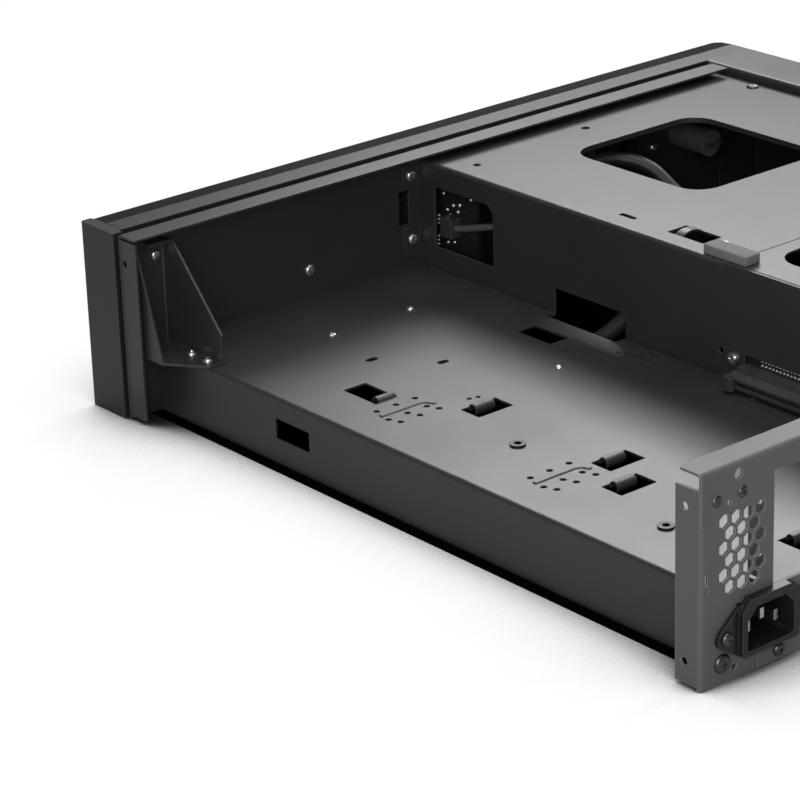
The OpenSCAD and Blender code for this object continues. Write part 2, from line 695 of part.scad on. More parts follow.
module riser_board() color(BOARD) placed() difference() {
    along_x(pcb_x, pcb_x + pcb_t) polygon([[slot_y - 19.6, floor_under], [slot_end + 15.4, floor_under],
        [slot_end + 15.4, riser_shoulder], [slot_end - 0.6, riser_shoulder], [slot_end - 0.6, riser_top],
        [riser_key + 2, riser_top], [riser_key + 2, riser_top - 5.5], [riser_key, riser_top - 5.5],
        [riser_key, riser_top], [slot_y + 1.4, riser_top], [slot_y + 1.4, riser_shoulder],
        [slot_y - 19.6, riser_shoulder]]);
    for (p = riser_screw_at) peg_x(pcb_x - 1, p[0], p[1], 4, hole_r);
}

module riser_slot() color(BLACK) placed() difference() {
    union() {
        along_y(slot_y, slot_end) polygon([[slot_x, slot_z + 1.6], [slot_x + 1.6, slot_z], [pcb_x, slot_z],
            [pcb_x, slot_z + slot_t], [slot_x + 2.2, slot_z + slot_t], [slot_x, slot_z + slot_t - 1.8]]);
        // Ears that hold the latch
        for (z = [slot_z, slot_z + slot_t - 0.9])
            translate([latch_x - 2, slot_end - 0.5, z])
                cube([pcb_x - latch_x + 2, ear_y - slot_end + 0.5, 0.9]);
    }
    // Groove for the card's edge, with its key
    difference() {
        translate([slot_x - 1, slot_y + 1.9, slot_z + slot_t / 2 - slot_groove / 2])
            cube([9.6, slot_len - 3.6, slot_groove]);
        translate([slot_x - 2, slot_y + 13.4, slot_z]) cube([12, 1.7, slot_t]);
    }
    // Seams between the sections of the lead-in
    for (k = [1 : 8]) translate([slot_x - 0.5, slot_y + k * slot_len / 9, slot_z + slot_t]) {
        translate([0, 0, -0.4]) cube([7.5, 0.6, 1]);
        translate([0, 0, -2.3]) cube([1, 0.6, 2]);
    }
    translate([latch_x, latch_y, slot_z - 1]) cylinder(h = slot_t + 2, r = 0.95, $fn = 24);
}

module riser_latch() color(BLACK) placed() {
    low = slot_z + 0.9 + 0.15;
    high = slot_z + slot_t - 0.9 - 0.15;
    translate([0, 0, low]) linear_extrude(high - low) polygon(concat(
        arc([latch_x, latch_y], latch_r, 90, -90, 8),
        [[slot_x - 1, latch_y - latch_r], [slot_x - 1, latch_y - 4.2], [slot_x - 2.2, latch_y - 4.2],
         [slot_x - 3, latch_y - 2.4], [slot_x - 3, latch_y + 0.6], [slot_x - 2, latch_y + latch_r]]));
    translate([latch_x, latch_y, slot_z + 0.1]) cylinder(h = slot_t - 0.2, r = 0.9, $fn = 24);
}

module riser_screws() color(STEEL) placed() {
    for (p = riser_screw_at)
        translate([divider_x, p[0], p[1]]) rotate([0, -90, 0]) screw(5, head = 2.7, rise = 1.5);
    // Spacers and nuts behind the wall
    for (p = riser_screw_at) translate([divider_x + sheet, p[0], p[1]]) rotate([0, 90, 0]) difference() {
        cylinder(h = 0.5, r = 2.6, $fn = 24);
        translate([0, 0, -1]) cylinder(h = 3, r = hole_r, $fn = 24);
    }
    for (p = riser_screw_at) translate([pcb_x + pcb_t, p[0], p[1]]) rotate([0, 90, 0]) difference() {
        cylinder(h = 1.8, r = 2.9, $fn = 6);
        translate([0, 0, -1]) cylinder(h = 3, r = hole_r - 0.1, $fn = 24);
    }
}

// Mains inlet

inlet_back = 24;
pin_tip = 1;

function bevelled(w, h, c) = [[-w / 2 + 0.8, -h / 2], [w / 2 - 0.8, -h / 2], [w / 2, -h / 2 + 0.8],
    [w / 2, h / 2 - c], [w / 2 - c, h / 2], [-w / 2 + c, h / 2], [-w / 2, h / 2 - c],
    [-w / 2, -h / 2 + 0.8]];

// Draws a section seen from behind the case, from one y to another
module inlet_section(from, to) {
    translate([inlet_x, to, inlet_z]) rotate([90, 0, 0]) linear_extrude(to - from) children();
}

module mains_inlet() color(BLACK) placed() difference() {
    union() {
        inlet_section(-inlet_proud, 0) polygon(bevelled(collar_w, collar_h, 4.4));
        // Ear plate
        inlet_section(-1.7, 0) translate([0, -1.7]) polygon(concat(
            arc([ear_pitch, 0], 4.4, -65, 65, 8), [[collar_w / 2, 10.4], [-collar_w / 2, 10.4]],
            arc([-ear_pitch, 0], 4.4, 115, 245, 8), [[-collar_w / 2, -8.6], [collar_w / 2, -8.6]]));
        // Body behind the plate
        inlet_section(-0.5, inlet_back) translate([0, -0.4]) polygon(bevelled(27.2, 19, 3.4));
    }
    inlet_section(-inlet_proud - 1, 14.5)
        translate([0, -recess_drop]) polygon(bevelled(recess_w, recess_h, 4.6));
    for (side = [-1, 1]) peg_y(inlet_x + side * ear_pitch, -3, inlet_z - 1.7, 4, hole_r);
}

module inlet_pins() color(STEEL) placed() {
    for (p = [[-7, -1.4], [7, -1.4], [0, 1.6]])
        translate([inlet_x + p[0] - 1, pin_tip, inlet_z - recess_drop + p[1] - 2])
            cube([2, 14.5 - pin_tip, 4]);
}

module inlet_screws() color(STEEL) placed() {
    for (side = [-1, 1])
        translate([inlet_x + side * ear_pitch, -1.7, inlet_z - 1.7]) rotate([90, 0, 0]) screw(5, head = 2.7);
}

// Leads

// Height between the bay floor and the deck's underside
function climb(share) = floor_top + share * (deck_under - floor_top);

// Depth between the lead's passage and the front wall
function far(share) = pass_y + share * (wall_y - pass_y);

lead_low = floor_under - 8.6;
lead_route = [[inlet_x, inlet_back + 0.3, inlet_z - 0.5], [inlet_x, 44, inlet_z - 0.5],
    [35, 80, inlet_z - 0.3],
    [48, 115, lead_low - 0.4], [70, 150, lead_low], [95, 185, lead_low], [118, pass_y + 6.5, lead_low],
    [divider_x - 28, pass_y + 21.5, lead_low], [divider_x - 15, pass_y + 23, lead_low + 0.2],
    [divider_x - 6, pass_y + 18.5, floor_under - 6.2], [divider_x, pass_y + 12.5, floor_under - 1],
    [divider_x + 4.6, pass_y + 7.1, climb(0.1)], [divider_x + 8.5, pass_y + 1.5, climb(0.27)],
    [divider_x + 11.5, pass_y - 4.5, climb(0.46)], [divider_x + 14.5, pass_y - 9.5, climb(0.64)],
    [divider_x + 20, pass_y - 12, climb(0.775)], [divider_x + 29, pass_y - 10.5, deck_under - 7.2],
    [divider_x + 39, pass_y - 4.5, deck_under - 6.4], [divider_x + 63, pass_y + 5.5, deck_under - 7],
    [divider_x + 85, far(0.145), deck_under - 8.2], [divider_x + 99, far(0.286), deck_under - 9.4],
    [divider_x + 104, far(0.45), deck_under - 10.8], [divider_x + 100, far(0.613), deck_under - 11.4],
    [divider_x + 89, far(0.718), deck_under - 11.6], [divider_x + 75, far(0.777), deck_under - 11.8],
    [divider_x + 61, far(0.806), deck_under - 12]];

// Depth between the port board and the place where its lead ends
function run(share) = wall_y - 54 - share * (wall_y - 54 - pass_y + 3.5);

panel_x = io_x - 2.8;
panel_route = [[panel_x, wall_y - 19.3, io_z + 28.6], [panel_x, wall_y - 26, io_z + 30.4],
    [panel_x, wall_y - 34, io_z + 32.7], [panel_x, wall_y - 44, io_z + 35.6],
    [panel_x, run(0), climb(0.6)], [panel_x + 0.2, run(0.2), climb(0.68)],
    [panel_x + 0.6, run(0.43), climb(0.75)], [panel_x + 1.6, run(0.64), climb(0.81)],
    [panel_x + 3, run(0.85), climb(0.85)], [panel_x + 4.8, run(1), climb(0.86)]];

function tangent(route, i) = unit(route[min(i + 1, len(route) - 1)] - route[max(i - 1, 0)]);
function blend_at(a, b, c, d, t) = 0.5 * (2 * b + (c - a) * t + (2 * a - 5 * b + 4 * c - d) * t * t
    + (3 * b - a - 3 * c + d) * t * t * t);
// Points between the route's own points, on a smooth curve through them
function smooth_route(route, parts) = let (n = len(route) - 1) concat(
    [for (i = [0 : n - 1]) for (k = [0 : parts - 1])
        blend_at(route[max(i - 1, 0)], route[i], route[i + 1], route[min(i + 2, n)], k / parts)],
    [route[n]]);
function side_of(t) = unit(cross(t, abs(t[2]) > 0.95 ? [1, 0, 0] : [0, 0, 1]));
function ring(p, t, r, sides) = let (u = side_of(t), v = cross(u, t))
    [for (k = [0 : sides - 1]) p + r * (cos(360 * k / sides) * u + sin(360 * k / sides) * v)];

module swept_tube(route, d, sides, parts) {
    points = smooth_route(route, parts);
    n = len(points);
    polyhedron(
        points = [for (i = [0 : n - 1]) each ring(points[i], tangent(points, i), d / 2, sides)],
        faces = concat(
            [[for (k = [0 : sides - 1]) k]],
            [[for (k = [sides - 1 : -1 : 0]) (n - 1) * sides + k]],
            [for (i = [0 : n - 2]) for (k = [0 : sides - 1])
                [i * sides + k, (i + 1) * sides + k, (i + 1) * sides + (k + 1) % sides,
                    i * sides + (k + 1) % sides]]));
}

module power_lead() color(RUBBER) placed() swept_tube(lead_route, lead_d, 10, 2);

socket_w = 26;
socket_h = 19;
socket_len = 33;

module lead_socket() color(RUBBER) placed() {
    end = lead_route[len(lead_route) - 1];
    before = lead_route[len(lead_route) - 2];
    heading = atan2(end[1] - before[1], end[0] - before[0]);
    translate(end) rotate([0, 0, heading]) difference() {
        union() {
            along_x(8, socket_len) polygon(bevelled(socket_w, socket_h, 3.6));
            along_x(0.7, 9) round_rect_centred(13, 11, 3);
            translate([7, -9, -6.5]) cube([4, 18, 13]);
        }
        for (p = [[-7, -1.4], [7, -1.4], [0, 1.6]])
            translate([socket_len - 12, p[0] - 1.4, p[1] - 2.4]) cube([14, 2.8, 4.8]);
    }
}

module round_rect_centred(w, h, r) {
    translate([-w / 2, -h / 2]) round_rect(w, h, r);
}

module lead_clip() color(BLACK) placed() {
    // Two saddles under the bay floor and two under the deck
    saddle(2, floor_under);
    saddle(5, floor_under);
    saddle(17, deck_under);
    saddle(24, deck_under);
}

module saddle(i, seat) {
    at = lead_route[i];
    ahead = tangent(lead_route, i);
    heading = atan2(ahead[1], ahead[0]);
    inner = lead_d / 2 + 0.4;
    outer = inner + 1.3;
    translate([at[0], at[1], 0]) rotate([0, 0, heading - 90]) along_y(-3, 3) difference() {
        union() {
            polygon(concat([[-outer, seat], [-outer, at[2]]], arc([0, at[2]], outer, 180, 360, 12),
                [[outer, seat]]));
            translate([-outer - 5, seat - 1.4]) square([2 * outer + 10, 1.4]);
        }
        polygon(concat([[-inner, at[2] + inner]], arc([0, at[2]], inner, 180, 360, 12),
            [[inner, at[2] + inner]]));
    }
}

// Ports and buttons

jack_x = port_x + 3.1;
jack_z = [io_z + 5.4, io_z + 13.2];

module io_board() color(BOARD) placed() difference() {
    translate([io_x, wall_y - io_reach, io_z]) cube([pcb_t, case_d - 15 - wall_y + io_reach, io_h]);
    for (z = [io_z + 3, io_z + io_h - 3]) peg_x(io_x - 1, wall_y - 5, z, 4, 1.2);
}

module usb_ports() color(STEEL) placed() {
    for (z = usb_z) difference() {
        translate([port_x, case_d - 15.2, z]) cube([usb_w, 14.6, usb_h]);
        translate([port_x + 0.5, case_d - 13, z + 0.5]) cube([usb_w - 1, 20, usb_h - 1]);
        }
    for (z = usb_z) translate([port_x + 0.5, case_d - 13.5, z + 0.9]) cube([1.9, 12, usb_h - 1.8]);
}

module audio_jacks() color(RUBBER) placed() {
    for (z = jack_z) difference() {
        union() {
            translate([port_x, case_d - 15.2, z - 3.2]) cube([6.2, 12, 6.4]);
            peg_y(jack_x, case_d - 4, z, 3.4, 2.9, 32);
        }
        peg_y(jack_x, case_d - 14, z, 20, 1.75);
    }
}

module power_switch() color(BLACK) placed() {
    peg_y(switch_x, wall_y - switch_len, switch_z, switch_len, switch_r, 48);
    peg_y(switch_x, wall_y - 1, switch_z, 1 + sheet + nose_len, 5, 48);
}

module switch_pins() color(STEEL) placed() {
    for (side = [-1, 1])
        translate([switch_x + side * 3.4 - 1.2, wall_y - switch_len - 5, switch_z + 0.6])
            cube([2.4, 5, 0.8]);
}

// A push button whose collar sits behind its guide, with a stem that ends short of its switch
module push_button(x, r, nose_y, travel, stem_r) {
    back = guide_y - touch - collar_t;
    peg_y(x, back, switch_z, collar_t, r + 1.3, 48);
    peg_y(x, back, switch_z, case_d - 0.3 - back, r, 48);
    peg_y(x, nose_y + travel + touch, switch_z, guide_y - nose_y - travel - 2 * touch, stem_r, 32);
}

module power_button() color(STEEL) placed()
    push_button(switch_x, button_r, wall_y + sheet + nose_len, button_travel, 3);

module reset_switch() color(BLACK) placed() {
    translate([reset_x - 4, wall_y - 5, switch_z - 4]) cube([8, 5, 8]);
    peg_y(reset_x, wall_y - 1, switch_z, 1 + sheet + nose_len - 2, 2.9, 32);
}

module reset_button() color(STEEL) placed()
    push_button(reset_x, reset_r, wall_y + sheet + nose_len - 2, 1, reset_r - 0.4);

module status_lens() color([0.75, 0.8, 0.85]) placed() {
    peg_y(lens_x, wall_y - 4, switch_z, 4, 2.6, 32);
    peg_y(lens_x, wall_y - 1, switch_z, case_d - wall_y + 0.8, 1.35);
}

module panel_lead() color(RUBBER) placed() swept_tube(panel_route, 3.2, 8, 2);

module panel_plug() color(BLACK) placed() {
    start = panel_route[0];
    translate([io_x - 5.6, start[1] + 0.45, start[2] - 4.6]) cube([5.6, 7.5, 9]);
    end = panel_route[len(panel_route) - 1];
    translate([end[0] - 3.4, end[1] - 9.4, end[2] - 3]) cube([6.8, 9, 6]);
}

// Fasteners

module gusset_screws() color(STEEL) placed() {
    for (p = gusset_wall_at) translate([p[0], wall_y - sheet, p[1]]) rotate([90, 0, 0]) screw(4, head = 2.5);
    for (p = gusset_screw_at) translate([p[0], p[1], floor_top + sheet]) screw(4, head = 2.5);
}

module floor_screws() color(STEEL) placed() {
    for (p = floor_screw_at) translate([p[0], p[1], floor_top]) screw(3);
}

module floor_nuts() color(STEEL) placed() {
    // Threaded inserts pressed into the floor, each with a raised rim
    for (p = floor_nut_at) translate([p[0], p[1], floor_top]) difference() {
        union() {
            cylinder(h = 0.8, r = nut_r + 1.1, $fn = round_fn);
            translate([0, 0, -sheet - 2.5]) cylinder(h = sheet + 3, r = nut_r, $fn = round_fn);
        }
        translate([0, 0, -sheet - 4]) cylinder(h = 10, r = screw_r, $fn = round_fn);
    }
}

module front_screws() color(STEEL) placed() {
    for (p = front_screw_at) translate([p[0], wall_y, p[1]]) rotate([90, 0, 0]) screw(5);
    for (p = rail_screw_at) translate([p[0], wall_y - sheet, p[1]]) rotate([90, 0, 0]) screw(6);
    for (p = divider_screw_at) translate([p[0], wall_y - sheet, p[1]]) rotate([90, 0, 0]) screw(5);
}

module rear_screws() color(STEEL) placed() {
    translate([10.6, 0, 8.1]) rotate([90, 0, 0]) screw(4, head = 3.8, rise = 1.8);
    translate([38.8, 0, 4]) rotate([90, 0, 0]) screw(4, head = 2.7, rise = 1.8);
    for (p = [[20, 70.9], [7.5, 70.9]])
        translate([p[0], 0, p[1]]) rotate([90, 0, 0]) screw(3, head = 2.2, rise = 0.9);
    for (x = [60, 140]) translate([x, 0, 20]) rotate([90, 0, 0]) screw(4);
    for (z = [12, 70]) translate([plate_screw_x, 0, z]) rotate([90, 0, 0]) screw(4);
}

module deck_screws() color(STEEL) placed() {
    for (p = deck_screw_at) translate([p[0], p[1], deck_top]) screw(4, head = 3, rise = 1.3);
}

module cover_pad() color(RUBBER) placed()
    translate([divider_x + fold_r + sheet, seam_y - 8.8, deck_top])
        along_z(0, pad_h) round_rect(8.6, 23.8, 0.6);

rear_plate();
bay_floor_all();  // bay_floor
divider_deck();
board_tray();
front_wall();
front_panel();
end_cap();
side_rail();
corner_gusset();
riser_board();
riser_slot();
riser_latch();
riser_screws();
mains_inlet();
inlet_pins();
inlet_screws();
power_lead();
lead_socket();
lead_clip();
cover_pad();
board_standoffs();
io_board();
usb_ports();
audio_jacks();
power_switch();
switch_pins();
power_button();
reset_switch();
reset_button();
status_lens();
panel_lead();
panel_plug();
gusset_screws();
floor_screws();
floor_nuts();
front_screws();
rear_screws();
deck_screws();
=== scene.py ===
"""Dresses the slim computer case: camera, studio, finishes and the small pieces.

Lengths in the classes are millimetres, measured from the case's rear corner at the card
side: x runs across, y runs from the rear plate to the front, z runs up. The function
`at` turns such a point into the part's own frame, in metres.
"""

import logging
import math
from dataclasses import dataclass, field
from enum import Enum
from typing import Iterable, Optional, Sequence

import bmesh
import bpy
from mathutils import Matrix, Quaternion, Vector

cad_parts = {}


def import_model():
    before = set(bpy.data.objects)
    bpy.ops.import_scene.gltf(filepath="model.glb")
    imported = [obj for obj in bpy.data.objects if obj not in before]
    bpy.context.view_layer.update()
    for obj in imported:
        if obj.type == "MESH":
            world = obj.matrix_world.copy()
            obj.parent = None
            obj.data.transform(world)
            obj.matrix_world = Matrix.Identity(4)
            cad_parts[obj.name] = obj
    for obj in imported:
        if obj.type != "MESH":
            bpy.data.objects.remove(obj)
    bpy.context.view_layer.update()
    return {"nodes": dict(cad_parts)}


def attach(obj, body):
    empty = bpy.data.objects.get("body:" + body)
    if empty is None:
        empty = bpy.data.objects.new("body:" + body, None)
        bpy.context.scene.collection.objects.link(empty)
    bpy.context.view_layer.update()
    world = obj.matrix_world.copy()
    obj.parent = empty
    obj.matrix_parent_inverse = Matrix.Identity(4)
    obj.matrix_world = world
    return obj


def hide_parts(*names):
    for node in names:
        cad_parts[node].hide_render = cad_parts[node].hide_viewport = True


LOG = logging.getLogger("case")

Pair = tuple[float, float]
Point = tuple[float, float, float]
Spot = tuple[Point, Point]
Colour = tuple[float, float, float, float]
Mesh = bpy.types.Mesh
Thing = bpy.types.Object
Material = bpy.types.Material
Socket = bpy.types.NodeSocket
Node = bpy.types.Node
Ring = list[bmesh.types.BMVert]

MM = 0.001
CASE_W = 380.0
CASE_D = 368.0
CASE_H = 83.0
INLET_PROUD = 3.7
SHEET = 1.0
FLOOR_TOP = 30.0
DECK_TOP = 78.8
WALL_Y = 342.0

BACK: Point = (0.0, -1.0, 0.0)
FORWARD: Point = (0.0, 1.0, 0.0)
UP: Point = (0.0, 0.0, 1.0)
TO_BAY: Point = (-1.0, 0.0, 0.0)

# The range that most of a noise texture's values fall in
NOISE_RANGE = (0.3, 0.7)

WHITE: Colour = (1.0, 1.0, 1.0, 1.0)


def at(x: float, y: float, z: float) -> Vector:
    """Turns a point measured from the case's corner into the part's frame.

    Args:
        x: Distance from the card side, in millimetres.
        y: Distance from the rear plate, in millimetres.
        z: Height above the underside, in millimetres.

    Returns:
        The point in the part's frame, in metres.
    """
    return Vector(((CASE_W / 2 - x) * MM, ((CASE_D - INLET_PROUD) / 2 - y) * MM, z * MM))


def turned(x: float, y: float, z: float) -> Vector:
    """Turns a direction or a step in the case's own axes into the part's frame."""
    return Vector((-x, -y, z))


def backward(places: Iterable[Pair], y: float) -> list[Spot]:
    """Gives spots on an upright plane, by x and z, that face backward."""
    return [((x, y, z), BACK) for x, z in places]


def upward(places: Iterable[Pair], z: float) -> list[Spot]:
    """Gives spots on a level plane, by x and y, that face upward."""
    return [((x, y, z), UP) for x, y in places]


# ---- node trees


class NodeWork:
    """A node tree, with short calls for what the trees share."""

    def __init__(self, tree: bpy.types.NodeTree) -> None:
        """Takes a tree and empties it."""
        self.tree = tree
        tree.nodes.clear()

    def add(self, kind: str, inputs: Optional[dict[str | int, object]] = None,
            **values: object) -> Node:
        """Adds a node.

        Args:
            kind: The node's type name.
            inputs: For its inputs, values to set or sockets to link.
            **values: Attributes to set on it.

        Returns:
            The new node.
        """
        node = self.tree.nodes.new(kind)
        for key, value in values.items():
            setattr(node, key, value)
        self.feed(node, inputs or {})
        return node

    def feed(self, node: Node, inputs: dict[str | int, object]) -> None:
        """Sets a node's inputs, or links them where a value is itself a socket."""
        for key, value in inputs.items():
            if isinstance(value, Socket):
                self.tree.links.new(value, node.inputs[key])
            else:
                node.inputs[key].default_value = value

    def span(self, value: Socket, source: Pair, target: Pair,
             kind: str = "LINEAR") -> Socket:
        """Maps a value from one range to another, and keeps it inside."""
        names = ("From Min", "From Max", "To Min", "To Max")
        inputs = {"Value": value, **dict(zip(names, source + target))}
        return self.add("ShaderNodeMapRange", inputs, interpolation_type=kind).outputs["Result"]

    def sums(self, operation: str, first: object, second: object = 0.0) -> Socket:
        """Does one sum on two values."""
        return self.add("ShaderNodeMath", {0: first, 1: second}, operation=operation).outputs[0]


class Graph(NodeWork):
    """A material's nodes, which end in one Principled shader."""

    def __init__(self, name: str) -> None:
        """Starts an empty material."""
        self.material = bpy.data.materials.new(name)
        self.material.use_nodes = True
        super().__init__(self.material.node_tree)
        self.shader = self.add("ShaderNodeBsdfPrincipled")
        self.add("ShaderNodeOutputMaterial", {"Surface": self.shader.outputs["BSDF"]})

    def paint(self, colour: Socket, rough: Socket, **others: object) -> Material:
        """Ends the material. Others are inputs, with _ for the spaces of their names."""
        self.feed(self.shader, {"Base Color": colour, "Roughness": rough})
        self.feed(self.shader, {name.replace("_", " "): value for name, value in others.items()})
        return self.material

    def place(self, stretch: Point = (1.0, 1.0, 1.0), turn: Point = (0.0, 0.0, 0.0),
              source: str = "Object") -> Socket:
        """Gives coordinates for a pattern, stretched and turned in radians."""
        spot = self.add("ShaderNodeTexCoord").outputs[source]
        inputs = {"Vector": spot, "Scale": stretch, "Rotation": turn}
        return self.add("ShaderNodeMapping", inputs).outputs["Vector"]

    def noise(self, place: Socket, scale: float, detail: float = 2.0,
              rough: float = 0.5) -> Socket:
        """Gives smooth noise with a number of features per metre."""
        inputs = {"Vector": place, "Scale": scale, "Detail": detail, "Roughness": rough}
        return self.add("ShaderNodeTexNoise", inputs).outputs["Fac"]

    def grains(self, place: Socket, scale: float) -> Socket:
        """Gives the distance to the nearest of many scattered grains."""
        inputs = {"Vector": place, "Scale": scale}
        return self.add("ShaderNodeTexVoronoi", inputs).outputs["Distance"]

    def swing(self, noise: Socket, low: float = 0.0, high: float = 1.0) -> Socket:
        """Maps a noise onto a range of its own."""
        return self.span(noise, NOISE_RANGE, (low, high))

    def mix(self, share: Socket, first: object, second: object) -> Socket:
        """Mixes two colours by a share."""
        inputs = {0: share, 6: first, 7: second}
        return self.add("ShaderNodeMix", inputs, data_type="RGBA").outputs[2]

    def relief(self, height: Socket, strength: float, depth_mm: float,
               round_mm: float = 0.0) -> Socket:
        """Turns a height into a bumped normal, above edges that are rounded off."""
        inputs = {"Height": height, "Strength": strength, "Distance": depth_mm * MM}
        if round_mm:
            inputs["Normal"] = self.rounded(round_mm)
        return self.add("ShaderNodeBump", inputs).outputs["Normal"]

    def rounded(self, radius_mm: float) -> Socket:
        """Gives a normal that rounds the edges off by a radius."""
        return self.add("ShaderNodeBevel", {"Radius": radius_mm * MM}, samples=6).outputs["Normal"]

    def edges(self, radius_mm: float) -> Socket:
        """Gives a mask that is 1 on the edges and 0 on the flats."""
        full, flat = 1.0 - 1.0 / 9.0, 0.995
        facet = self.add("ShaderNodeNewGeometry").outputs["Normal"]
        inputs = {0: self.rounded(radius_mm), 1: facet}
        dot = self.add("ShaderNodeVectorMath", inputs, operation="DOT_PRODUCT")
        return self.span(dot.outputs["Value"], (full, flat), (1.0, 0.0))


# ---- finishes


def grey(level: float, warm: float = 0.0) -> Colour:
    """Gives a grey colour, a little warm or cool."""
    return (level * (1 + warm), level, level * (1 - warm), 1.0)


class Sheen(Enum):
    """How glossy a coat of powder is, as its roughness."""

    DULL = 0.56
    SATIN = 0.38


@dataclass(frozen=True)
class PowderCoat:
    """Powder coat on steel sheet, with its fine grain and thin edges, which are painted lighter:
    partly wear, partly a painted highlight.
    """

    name: str
    level: float = 0.026
    sheen: Sheen = Sheen.SATIN
    # How much lighter the edges are painted, for wear and as a painted highlight
    edge: float = 3.2
    warm: float = 0.0
    grain_mm: float = 0.42
    peel_scale: float = 900.0
    cloud_scale: float = 14.0
    fleck: float = 0.22
    fleck_tone: float = 1.7
    brightest_edge: float = 0.6
    rough_swing: float = 0.035

    def material(self) -> Material:
        """Builds the coat's material."""
        graph = Graph(self.name)
        place = graph.place()
        grain = graph.grains(place, 1.0 / (self.grain_mm * MM))
        peel = graph.noise(place, self.peel_scale)
        cloud = graph.noise(place, self.cloud_scale, 3.0, 0.6)
        dark, light = grey(self.level * 0.88, self.warm), grey(self.level * 1.12, self.warm)
        base = graph.mix(graph.swing(cloud), dark, light)
        speck = graph.span(grain, (0.05, 0.6), (1.0, 0.0))
        fleck_share = graph.sums("MULTIPLY", speck, self.fleck)
        flecked = graph.mix(fleck_share, base, grey(self.level * self.fleck_tone, self.warm))
        # The edges are painted lighter where the peel noise is high: partly wear, partly a painted
        # highlight
        worn_and_highlit = graph.sums("MULTIPLY", graph.edges(0.45), graph.swing(peel, 0.55, 1.0))
        bare_and_highlit_edge = grey(min(self.brightest_edge, self.level * self.edge), self.warm)
        sheen, swing = self.sheen.value, self.rough_swing
        rough = graph.swing(cloud, sheen - swing, sheen + swing)
        rough = graph.sums("ADD", rough, graph.sums("MULTIPLY", speck, 0.05))
        height = graph.sums("ADD", graph.sums("MULTIPLY", grain, 0.6), peel)
        normal = graph.relief(height, 0.16, 0.12, 0.3)
        colour = graph.mix(worn_and_highlit, flecked, bare_and_highlit_edge)
        return graph.paint(colour, rough, Normal=normal, Specular_IOR_Level=0.85)


@dataclass(frozen=True)
class BrushedCoat:
    """Black lacquer over fine brushing, as on the front bar."""

    name: str
    level: float = 0.024
    rough: float = 0.33
    shine: float = 0.8
    # How much lighter the edges are painted, a painted highlight
    edge: float = 4.0
    stroke: Point = (9.0, 900.0, 900.0)
    cloud_scale: float = 11.0

    def material(self) -> Material:
        """Builds the lacquer's material."""
        graph = Graph(self.name)
        strokes = graph.noise(graph.place(self.stroke), 1.0, 3.0, 0.65)
        cloud = graph.noise(graph.place(), self.cloud_scale)
        share = graph.span(strokes, (0.35, 0.65), (0.0, 1.0))
        base = graph.mix(share, grey(self.level * 0.8), grey(self.level * 1.3))
        # The edges are painted lighter, a painted highlight
        colour = graph.mix(graph.edges(0.4), base, grey(self.level * self.edge))
        rough = graph.swing(cloud, self.rough, self.rough + 0.06)
        rough = graph.sums("ADD", rough, graph.sums("MULTIPLY", share, 0.05))
        normal = graph.relief(strokes, 0.12, 0.1, 0.3)
        return graph.paint(colour, rough, Normal=normal, Specular_IOR_Level=self.shine)


@dataclass(frozen=True)
class Plating:
    """Bare, plated or blackened metal of the small fittings."""

    name: str
    colour: Colour
    rough: float = 0.24
    stained: float = 0.72
    stain_scale: float = 700.0
    scuff: Point = (1800.0, 240.0, 240.0)

    def material(self) -> Material:
        """Builds the plating's material."""
        graph = Graph(self.name)
        stain = graph.noise(graph.place(), self.stain_scale, 3.0, 0.6)
        scuffs = graph.noise(graph.place(self.scuff), 1.0)
        share = graph.span(stain, (0.35, 0.7), (0.0, 1.0))
        dark = tuple(c * self.stained for c in self.colour[:3]) + (1.0,)
        colour = graph.mix(share, self.colour, dark)
        rough = graph.swing(stain, self.rough, self.rough + 0.12)
        normal = graph.relief(scuffs, 0.08, 0.05)
        return graph.paint(colour, rough, Normal=normal, Metallic=1.0)


@dataclass(frozen=True)
class Moulding:
    """Moulded plastic or rubber with a spark-eroded grain."""

    name: str
    level: float = 0.016
    rough: float = 0.5
    grain_mm: float = 0.3
    relief: float = 0.22
    # How much lighter the edges are painted, a painted highlight
    edge: float = 2.6
    flow_scale: float = 60.0

    def material(self) -> Material:
        """Builds the plastic's material."""
        graph = Graph(self.name)
        place = graph.place()
        grain = graph.noise(place, 1.0 / (self.grain_mm * MM), 2.0, 0.6)
        flow = graph.noise(place, self.flow_scale)
        base = graph.mix(graph.swing(flow), grey(self.level * 0.85), grey(self.level * 1.18))
        # The edges are painted lighter, a painted highlight
        colour = graph.mix(graph.edges(0.3), base, grey(self.level * self.edge))
        rough = graph.swing(grain, self.rough - 0.05, self.rough + 0.07)
        normal = graph.relief(grain, self.relief, 0.08, 0.2)
        return graph.paint(colour, rough, Normal=normal)


@dataclass(frozen=True)
class SolderMask:
    """A black circuit board, with the faint relief of its copper tracks."""

    name: str
    level: float = 0.014
    pitch_mm: float = 2.4
    gap: float = 0.055
    gap_blur: float = 0.3
    speck_scale: float = 900.0

    def material(self) -> Material:
        """Builds the board's material."""
        graph = Graph(self.name)
        tracks = graph.add("ShaderNodeTexBrick", {
            "Vector": graph.place(turn=(0.0, math.pi / 2, 0.0)),
            "Scale": 1.0 / (self.pitch_mm * MM),
            "Mortar Size": self.gap, "Mortar Smooth": self.gap_blur,
        }, offset=0.5, squash=1.6, squash_frequency=3).outputs["Fac"]
        speck = graph.noise(graph.place(), self.speck_scale)
        mask = (self.level * 0.75, self.level * 0.9, self.level * 0.8, 1.0)
        track = (self.level * 1.5, self.level * 1.9, self.level * 1.6, 1.0)
        rough = graph.swing(speck, 0.24, 0.36)
        normal = graph.relief(tracks, 0.3, 0.06)
        return graph.paint(graph.mix(tracks, mask, track), rough, Normal=normal)


